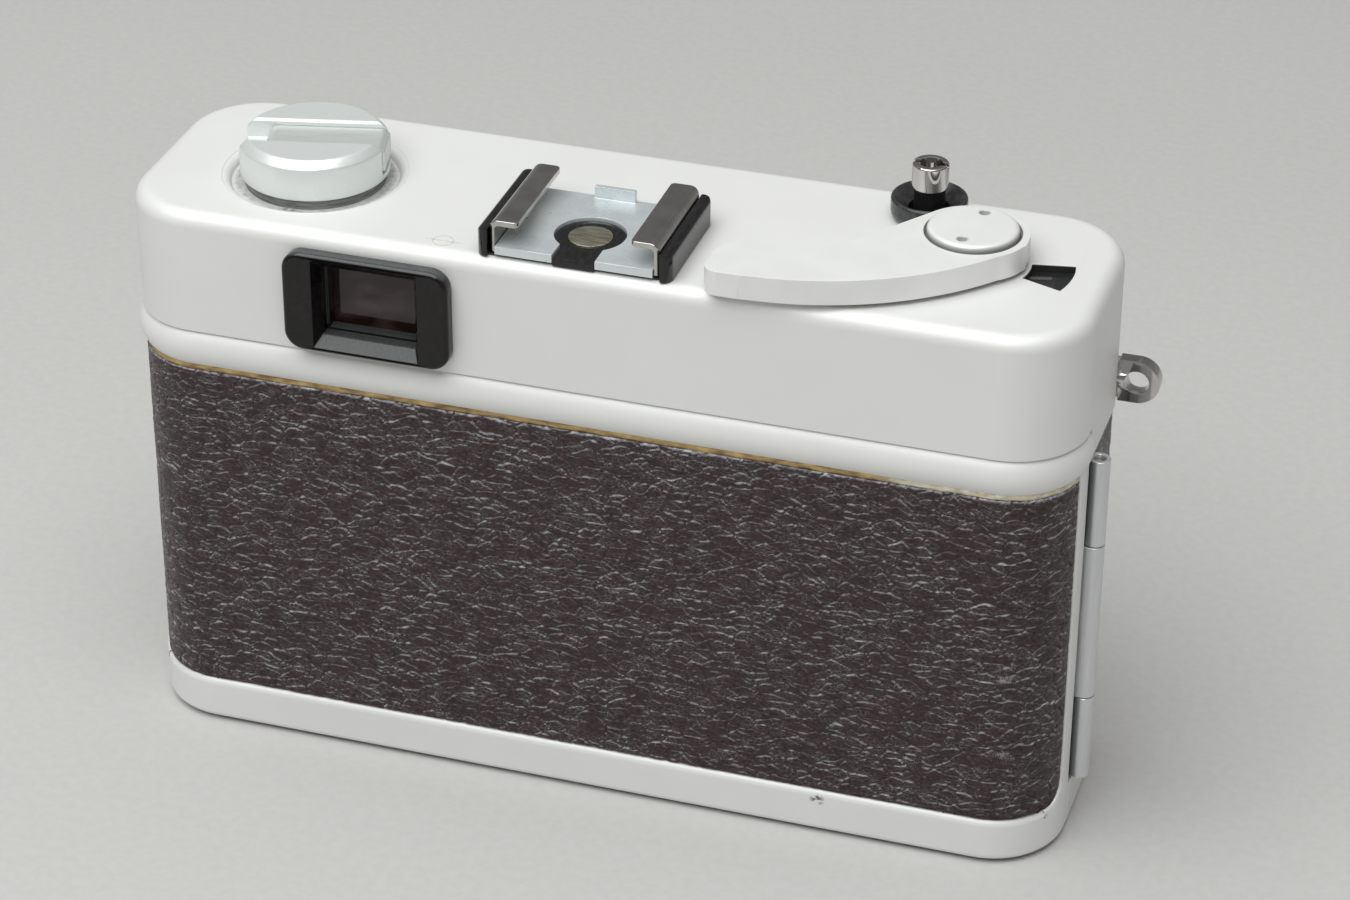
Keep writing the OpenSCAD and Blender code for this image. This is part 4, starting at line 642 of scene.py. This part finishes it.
# Painted highlight: crease walls that face up are washed pale grey as glints of the lamp, broken up by the
# same noise.
wash(leather, both(leather, graded(leather, ledge_glint.outputs["Fac"], 0.0, 1.0, 0.15, 0.8),
                   graded(leather, dust_and_glint, 0.2, 1.0, 0.35, 0.6)), (0.60, 0.61, 0.64))
for scuff, reach in (((50.0, -15.3, 28.2), 1.8), ((50.4, -15.2, 25.8), 1.6), ((50.8, -15.05, 15.4), 1.7)):
    threads = both(leather, flecks(leather, scuff, reach, (0.16, 0.16, 0.45)),
                   graded(leather, dust_and_glint, 0.0, 1.0, 0.44, 0.58))
    wash(leather, threads, (0.24, 0.225, 0.21))
pores = speckle(leather, (0.10, 0.10, 0.10), detail=2.0)
vary_gloss(leather, pores, 0.26, 0.44)
relief(leather, pores, 0.012)

leather_inset = 0.2
front_low, front_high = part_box("front_leatherette")
front_run = half_w - corner_r + (corner_r - leather_inset) * math.pi / 2
front_left = -(front_run + half_d - corner_r - front_low.y / MM)
front_right = front_run + half_d - corner_r + 1.9
front_step, front_rise = 0.28, 0.15
front_s, front_z = np.meshgrid(np.arange(front_left, front_right, front_step),
                               np.arange(front_low.z / MM, front_high.z / MM, front_rise))
flange_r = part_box("lens_flange")[1].x / MM
leather_piece("front_leather", "front_leatherette", front_s, front_z, leather_inset, 1, "body", 31,
              hole=(0.0, lens_z / MM, flange_r + 0.1))


# Base fittings: the brass tripod bush, the steel rewind button and three countersunk screws in the
# base plate, none of which stands below it.
dress(gear_brass, "tripod_socket")
dress(shaft_steel, "rewind_button", "base_screws")
soften(0.08, "tripod_socket", "rewind_button", "base_screws")


# Viewfinder: a gloss black moulded eyepiece frame with a stepped pocket, a matt light tube, and a black
# front bezel round a clear window.
def gloss_black(name):
    """Polished black moulding, faintly scuffed."""
    black = finish(name, (0.006, 0.005, 0.005), 0.0, 0.12)
    scuff = speckle(black, (0.5, 0.5, 0.5), detail=6.0)
    tint(black, scuff, (0.0045, 0.0036, 0.0036), (0.012, 0.010, 0.010), 0.4, 0.75)
    vary_gloss(black, scuff, 0.06, 0.14)
    return black


dress(gloss_black("gloss_black"), "viewfinder_bezel")
eyepiece_black = gloss_black("eyepiece_black")
sill_place = add(eyepiece_black, "TexCoord")
sill_normal = add(eyepiece_black, "SeparateXYZ")
link(eyepiece_black, sill_place.outputs["Normal"], sill_normal.inputs["Vector"])
# Partly dust and partly painted sheen: faces that look up, the sill and the frame's top, are washed grey,
# broken up by noise.
sill_dust_and_sheen = speckle(eyepiece_black, (0.10, 0.5, 0.5), detail=5.0)
upward_faces = graded(eyepiece_black, sill_normal.outputs["Z"], 0.0, 1.0, 0.55, 0.75)
wash(eyepiece_black, both(eyepiece_black, upward_faces, graded(eyepiece_black, sill_dust_and_sheen, 0.4, 0.7)),
     (0.10, 0.103, 0.108))
shader_of(eyepiece_black).inputs["Specular IOR Level"].default_value = 0.35
dress(eyepiece_black, "eyepiece_frame")
soften(0.12, "eyepiece_frame")
soften(0.15, "viewfinder_bezel", segments=3)

dull_black = finish("dull_black", (0.018, 0.018, 0.018), 0.0, 0.65)
dull_grain = speckle(dull_black, (0.15, 0.15, 0.15))
tint(dull_black, dull_grain, (0.012, 0.012, 0.012), (0.028, 0.027, 0.026))
vary_gloss(dull_black, dull_grain, 0.5, 0.75)
dress(dull_black, "viewfinder_tube")

# Painted reflection: the glass's reddish brown colour, streaked by noise, stands in for warm surroundings
# reflected in it.
eyepiece = finish("eyepiece_glass", (0.20, 0.10, 0.075), 0.0, 0.05)
shader_of(eyepiece).inputs["Transmission Weight"].default_value = 0.8
eye_reflection = speckle(eyepiece, (3.6, 3.6, 1.7), detail=3.0)
tint(eyepiece, eye_reflection, (0.060, 0.020, 0.014), (0.28, 0.19, 0.17), 0.44, 0.72)
eye_dust = speckle(eyepiece, (0.3, 0.3, 0.3), detail=8.0)
vary_gloss(eyepiece, eye_dust, 0.02, 0.25, 0.5, 0.75)
dress(eyepiece, "eyepiece_glass")

window_glass = finish("window_glass", (0.80, 0.85, 0.86), 0.0, 0.02)
shader_of(window_glass).inputs["Transmission Weight"].default_value = 1.0
window_dust = speckle(window_glass, (0.6, 0.6, 0.6), detail=7.0)
tint(window_glass, window_dust, (0.86, 0.90, 0.91), (0.95, 0.96, 0.95), 0.45, 0.7)
vary_gloss(window_glass, window_dust, 0.0, 0.04, 0.5, 0.75)
dress(window_glass, "viewfinder_window")


# Accessory shoe: bent and chromed rails on a zinc plated floor, a black insulating plug and flanks, and
# a flat contact in the plug's middle.
chrome = finish("bright_chrome", (0.52, 0.50, 0.48), 1.0, 0.06)
chrome_haze = speckle(chrome, (2.5, 2.5, 2.5), detail=4.0)
tint(chrome, chrome_haze, (0.48, 0.46, 0.44), (0.56, 0.545, 0.53))
vary_gloss(chrome, chrome_haze, 0.035, 0.07)
dress(chrome, "shoe_rails")
soften(0.10, "shoe_rails", segments=3)

zinc = finish("zinc_plate", (0.70, 0.75, 0.77), 0.5, 0.30)
zinc_bloom = speckle(zinc, (3.0, 3.0, 3.0), detail=2.0)
tint(zinc, zinc_bloom, (0.67, 0.72, 0.745), (0.73, 0.775, 0.79))
vary_gloss(zinc, zinc_bloom, 0.24, 0.32)
dress(zinc, "shoe_floor")
soften(0.08, "shoe_floor")

shoe_black = finish("shoe_black", (0.006, 0.006, 0.007), 0.0, 0.14)
shoe_scuff = speckle(shoe_black, (0.3, 1.5, 0.3), detail=5.0)
tint(shoe_black, shoe_scuff, (0.0045, 0.0045, 0.005), (0.018, 0.017, 0.017), 0.4, 0.75)
vary_gloss(shoe_black, shoe_scuff, 0.07, 0.17)
dress(shoe_black, "shoe_insulator")
soften(0.10, "shoe_insulator")

contact_metal = finish("contact_metal", (0.50, 0.47, 0.36), 1.0, 0.34)
contact_lines = speckle(contact_metal, (2.0, 0.10, 1.0), detail=4.0)
tint(contact_metal, contact_lines, (0.36, 0.34, 0.25), (0.60, 0.57, 0.46))
vary_gloss(contact_metal, contact_lines, 0.22, 0.46)
relief(contact_metal, contact_lines, 0.003)
dress(contact_metal, "shoe_contact")
soften(0.12, "shoe_contact")


# Shutter button: turned and chromed, on a blackened shaft with a rod down to the blades. The dished collar
# round it is moulded in black plastic and pressed into the top cover, its polish gone dull under the finger.
dress(chrome, "release_button")
soften(0.10, "release_button")
dress(anodised, "release_shaft")

collar_black = finish("collar_black", (0.03, 0.03, 0.032), 0.0, 0.3)
collar_wear = speckle(collar_black, (0.6, 0.6, 0.6), detail=5.0)
tint(collar_black, collar_wear, (0.020, 0.020, 0.022), (0.045, 0.045, 0.048))
vary_gloss(collar_black, collar_wear, 0.18, 0.34)
dress(collar_black, "release_collar")


# Rewind knob and crank: turned from bar, the crank's top brushed along its length, folded into the
# knob's groove on a steel pin. Pulling the knob's shaft up lifts the door's latch.
dress(shaft_steel, "rewind_shaft", "crank_pin", "latch_bar")

# Painted shade: the ring under the knob is a dark mottled grey, so the gap under the knob reads as shade.
painted_collar_shade = finish("painted_collar_shade", (0.20, 0.205, 0.20), 0.4, 0.45)
collar_shade_mottle = speckle(painted_collar_shade, (2.0, 2.0, 0.3), detail=4.0)
tint(painted_collar_shade, collar_shade_mottle, (0.13, 0.135, 0.13), (0.26, 0.265, 0.26))
dress(painted_collar_shade, "rewind_collar")

crank_turn = math.radians(13.5)
brushed = finish("brushed_alloy", (0.68, 0.71, 0.69), 0.45, 0.36)
brush_lines = speckle(brushed, (6.0, 0.06, 1.0), detail=4.0, turn=crank_turn)
tint(brushed, brush_lines, (0.61, 0.64, 0.62), (0.72, 0.75, 0.73))
vary_gloss(brushed, brush_lines, 0.30, 0.44)
relief(brushed, brush_lines, 0.002)
dress(brushed, "rewind_crank")

knob_alloy = finish("knob_alloy", (0.79, 0.82, 0.81), 0.42, 0.34)
knob_grain = speckle(knob_alloy, (0.10, 0.10, 0.10), detail=2.0)
tint(knob_alloy, knob_grain, (0.76, 0.79, 0.78), (0.82, 0.85, 0.84))
vary_gloss(knob_alloy, knob_grain, 0.28, 0.42)
relief(knob_alloy, knob_grain, 0.002)
dress(knob_alloy, "rewind_knob")
soften(0.16, "rewind_knob", "rewind_crank", segments=3)


# Wind lever and counter: a thick milled lever with a turned cap on the winding shaft, and under the fan
# window a black counter disc with painted strokes.
lever_alloy = finish("lever_alloy", (0.82, 0.82, 0.81), 0.15, 0.36)
lever_grain = speckle(lever_alloy, (0.10, 0.10, 0.10))
tint(lever_alloy, speckle(lever_alloy, (5.0, 5.0, 5.0)), (0.80, 0.80, 0.79), (0.84, 0.84, 0.835))
vary_gloss(lever_alloy, lever_grain, 0.30, 0.44)
relief(lever_alloy, lever_grain, 0.003)
cap_low, cap_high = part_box("lever_cap")
cap_middle, cap_r = (cap_low + cap_high) / 2, (cap_high.x - cap_low.x) / 2 / MM
# Painted shade: a dark ring round the cap's foot, where the gap between cap and lever lies.
wash(lever_alloy, ring_mask(lever_alloy, cap_middle, cap_r + 0.12, 0.3), dark_grime_and_shade)
# Painted shade: the cap's two shallow pin holes are painted dark so they read as deep holes.
hole_turn, hole_out, hole_r = math.radians(83.0), 3.5, 0.85
for side in (-hole_out, hole_out):
    hole = cap_middle + Vector((math.cos(hole_turn), math.sin(hole_turn), 0.0)) * side * MM
    wash(lever_alloy, ring_mask(lever_alloy, hole, 0.0, hole_r), dark_grime_and_shade)
dress(lever_alloy, "wind_lever", "lever_cap")
soften(0.16, "lever_cap", segments=3)
soften(0.05, "wind_lever")

counter_glass = finish("counter_glass", (0.10, 0.10, 0.105), 0.0, 0.05)
shader_of(counter_glass).inputs["Alpha"].default_value = 0.18
vary_gloss(counter_glass, speckle(counter_glass, (0.6, 0.6, 0.6), detail=7.0), 0.02, 0.10, 0.5, 0.75)
dress(counter_glass, "counter_window")
soften(0.15, "counter_window")

dress(dull_black, "frame_counter")
counter_low, counter_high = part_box("frame_counter")
counter_middle = (counter_low + counter_high) / 2
stroke_count = 18
first_stroke = math.radians(-4.0)
inner, outer, half = 6.4, 9.0, 0.32
stroke_points, stroke_faces = [], []
for i in range(stroke_count):
    turn = first_stroke + 2 * math.pi * i / stroke_count
    reach = Vector((math.cos(turn), math.sin(turn), 0.0))
    side = Vector((-reach.y, reach.x, 0.0))
    base = len(stroke_points)
    for z in (-0.01, 0.02):
        for r, w in ((inner, -half), (outer, -half), (outer, half), (inner, half)):
            point = counter_middle + reach * r * MM + side * w * MM
            stroke_points.append((point.x, point.y, counter_high.z + z * MM))
    stroke_faces += [tuple(base + k for k in f) for f in
                     ((3, 2, 1, 0), (4, 5, 6, 7), (0, 1, 5, 4), (1, 2, 6, 5), (2, 3, 7, 6), (3, 0, 4, 7))]
new_piece("counter_strokes", stroke_points, stroke_faces, white_ink, "counter",
          smooth=False)


# Strap lugs: a chromed eye plate on each end of the body, riveted through the top cover over a small
# oval flange that closes the gap to the cover's round corner.
dress(chrome, "strap_lug_left", "strap_lug_right")
soften(0.10, "strap_lug_left", "strap_lug_right")
flange_steps = 32
for name in ("strap_lug_left", "strap_lug_right"):
    lug_low, lug_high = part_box(name)
    lug_side = math.copysign(1.0, lug_low.x)
    lug_middle = (lug_low + lug_high) / 2
    flange_out = half_w * MM + 0.35 * MM
    flange_in = half_w * MM - 0.9 * MM
    half_h, half_t, chamfer = 2.6 * MM, 1.25 * MM, 0.2 * MM
    around = [2 * math.pi * i / flange_steps for i in range(flange_steps)]
    flange_points, flange_faces = [], []
    for x, inset in ((flange_in, 0.0), (flange_out - chamfer, 0.0), (flange_out, chamfer)):
        for turn in around:
            flange_points.append((lug_side * x, lug_middle.y + (half_t - inset) * math.cos(turn),
                                  lug_middle.z + (half_h - inset) * math.sin(turn)))
    for row in (0, flange_steps):
        for i in range(flange_steps):
            j = (i + 1) % flange_steps
            quad = (row + i, row + j, row + flange_steps + j, row + flange_steps + i)
            flange_faces.append(quad if lug_side > 0 else quad[::-1])
    ends = [tuple(reversed(range(flange_steps))), tuple(range(2 * flange_steps, 3 * flange_steps))]
    flange_faces += ends if lug_side > 0 else [end[::-1] for end in ends]
    new_piece(name.replace("lug", "flange"), flange_points, flange_faces, chrome, "body",
              smooth=False)


# Rear door: one pressed sheet, satin plated outside and black inside, with a rolled lip at the top and a
# band at the base. It swings on a three-knuckle hinge at the right and carries the pressure plate. Old
# glue shows above its covering.
door_plate = satin_plate("door_plate")
door_place = add(door_plate, "TexCoord")
door_level = add(door_plate, "VectorMath")
door_level.operation = "MULTIPLY"
door_level.inputs[1].default_value = (1.0, 1.0, 0.0)
door_dot = add(door_plate, "VectorMath")
door_dot.operation = "DOT_PRODUCT"
link(door_plate, door_place.outputs["Normal"], door_level.inputs[0])
link(door_plate, door_place.outputs["Object"], door_dot.inputs[0])
link(door_plate, door_level.outputs["Vector"], door_dot.inputs[1])
inner_face, outer_face = -0.006, -0.004
inside_paint = graded(door_plate, door_dot.outputs["Value"], 1.0, 0.0, inner_face, outer_face)
wash(door_plate, inside_paint, (0.015, 0.015, 0.016))
link(door_plate, graded(door_plate, door_dot.outputs["Value"], 0.0, 0.15, inner_face, outer_face),
     shader_of(door_plate).inputs["Metallic"])
band_nick = (28.9, -half_d, 4.85)
wash(door_plate, flecks(door_plate, band_nick, 1.0, (1.5, 1.5, 0.9)), (0.16, 0.15, 0.145))
dress(door_plate, "rear_door")
soften(0.10, "rear_door")

hinge_steel = finish("hinge_steel", (0.64, 0.65, 0.66), 0.6, 0.32)
hinge_lines = speckle(hinge_steel, (0.25, 0.25, 4.0), detail=3.0)
tint(hinge_steel, hinge_lines, (0.62, 0.63, 0.64), (0.67, 0.68, 0.69))
vary_gloss(hinge_steel, hinge_lines, 0.30, 0.38)
dress(hinge_steel, "door_hinge_leaf", "body_hinge_leaf")
dress(shaft_steel, "hinge_pin", "door_catch")
dress(anodised, "pressure_plate")
soften(0.15, "door_hinge_leaf", "body_hinge_leaf", "hinge_pin", segments=3)

door_cover_low, door_cover_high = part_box("door_leatherette")
cover_bottom = door_cover_low.z / MM
leather_top = door_cover_high.z / MM - 0.55
cover_end_y = door_cover_high.y / MM
corner_round = 3.0


def end_of_row(z):
    """Arc length from the door's middle to the covering's end at height z, round its lower corner."""
    drop = np.clip(cover_bottom + corner_round - z, 0.0, corner_round)
    y = cover_end_y - corner_round + np.sqrt(corner_round ** 2 - drop ** 2)
    r = corner_r - leather_inset
    return half_w - corner_r + r * np.arccos((corner_r - half_d - y) / r)


door_rise, door_columns = 0.13, 560
row_z = np.arange(cover_bottom, leather_top, door_rise)
row_end = end_of_row(row_z)
door_s = np.linspace(-1.0, 1.0, door_columns)[None, :] * row_end[:, None]
door_z = np.repeat(row_z[:, None], door_columns, 1)
leather_piece("door_leather", "door_leatherette", door_s, door_z, leather_inset, -1, "door", 7)

glue_brown = finish("old_glue", (0.36, 0.24, 0.09), 0.0, 0.5)
glue_cloud = speckle(glue_brown, (2.2, 2.2, 0.8), detail=6.0)
tint(glue_brown, glue_cloud, (0.20, 0.11, 0.035), (0.58, 0.42, 0.17))
glue_place = add(glue_brown, "TexCoord")
glue_split = add(glue_brown, "SeparateXYZ")
link(glue_brown, glue_place.outputs["Object"], glue_split.inputs["Vector"])
pale_from, pale_to = 0.034, 0.038
wash(glue_brown, both(glue_brown, graded(glue_brown, glue_split.outputs["X"], 0.0, 1.0, pale_from, pale_to),
                      graded(glue_brown, speckle(glue_brown, (1.2, 1.2, 0.6), detail=5.0), 0.35, 1.0)),
     (0.78, 0.76, 0.64))
vary_gloss(glue_brown, glue_cloud, 0.35, 0.6)
relief(glue_brown, glue_cloud, 0.05)
glue_bottom, glue_top = leather_top - 0.1, door_cover_high.z / MM + 0.3
glue_end = float(end_of_row(np.array(leather_top)))
glue_columns, glue_rows = 480, 7
glue_s, glue_t = np.meshgrid(np.linspace(-glue_end, glue_end, glue_columns),
                             np.linspace(0.0, 1.0, glue_rows))
glue_z = glue_bottom + (glue_top - glue_bottom) * glue_t
glue_depth = 0.42 - 0.12 * np.sin(math.pi * glue_t) + 0.06 * drift(glue_s, glue_t * 1.6, 0.8, 52)
glue_x, glue_y = outline(glue_s, glue_depth, -1)
glue_points = np.stack([glue_x, glue_y, glue_z], -1).reshape(-1, 3) * MM
glue_index = np.arange(glue_s.size).reshape(glue_s.shape)
glue_quads = np.stack([glue_index[:-1, :-1], glue_index[:-1, 1:], glue_index[1:, 1:], glue_index[1:, :-1]],
                      -1).reshape(-1, 4)
glue = new_piece("glue_line", glue_points.tolist(), glue_quads.tolist(), glue_brown, "door")
glue_edge = glue.modifiers.new("edge", "SOLIDIFY")
glue_edge.thickness = 0.25 * MM
glue_edge.offset = -1.0
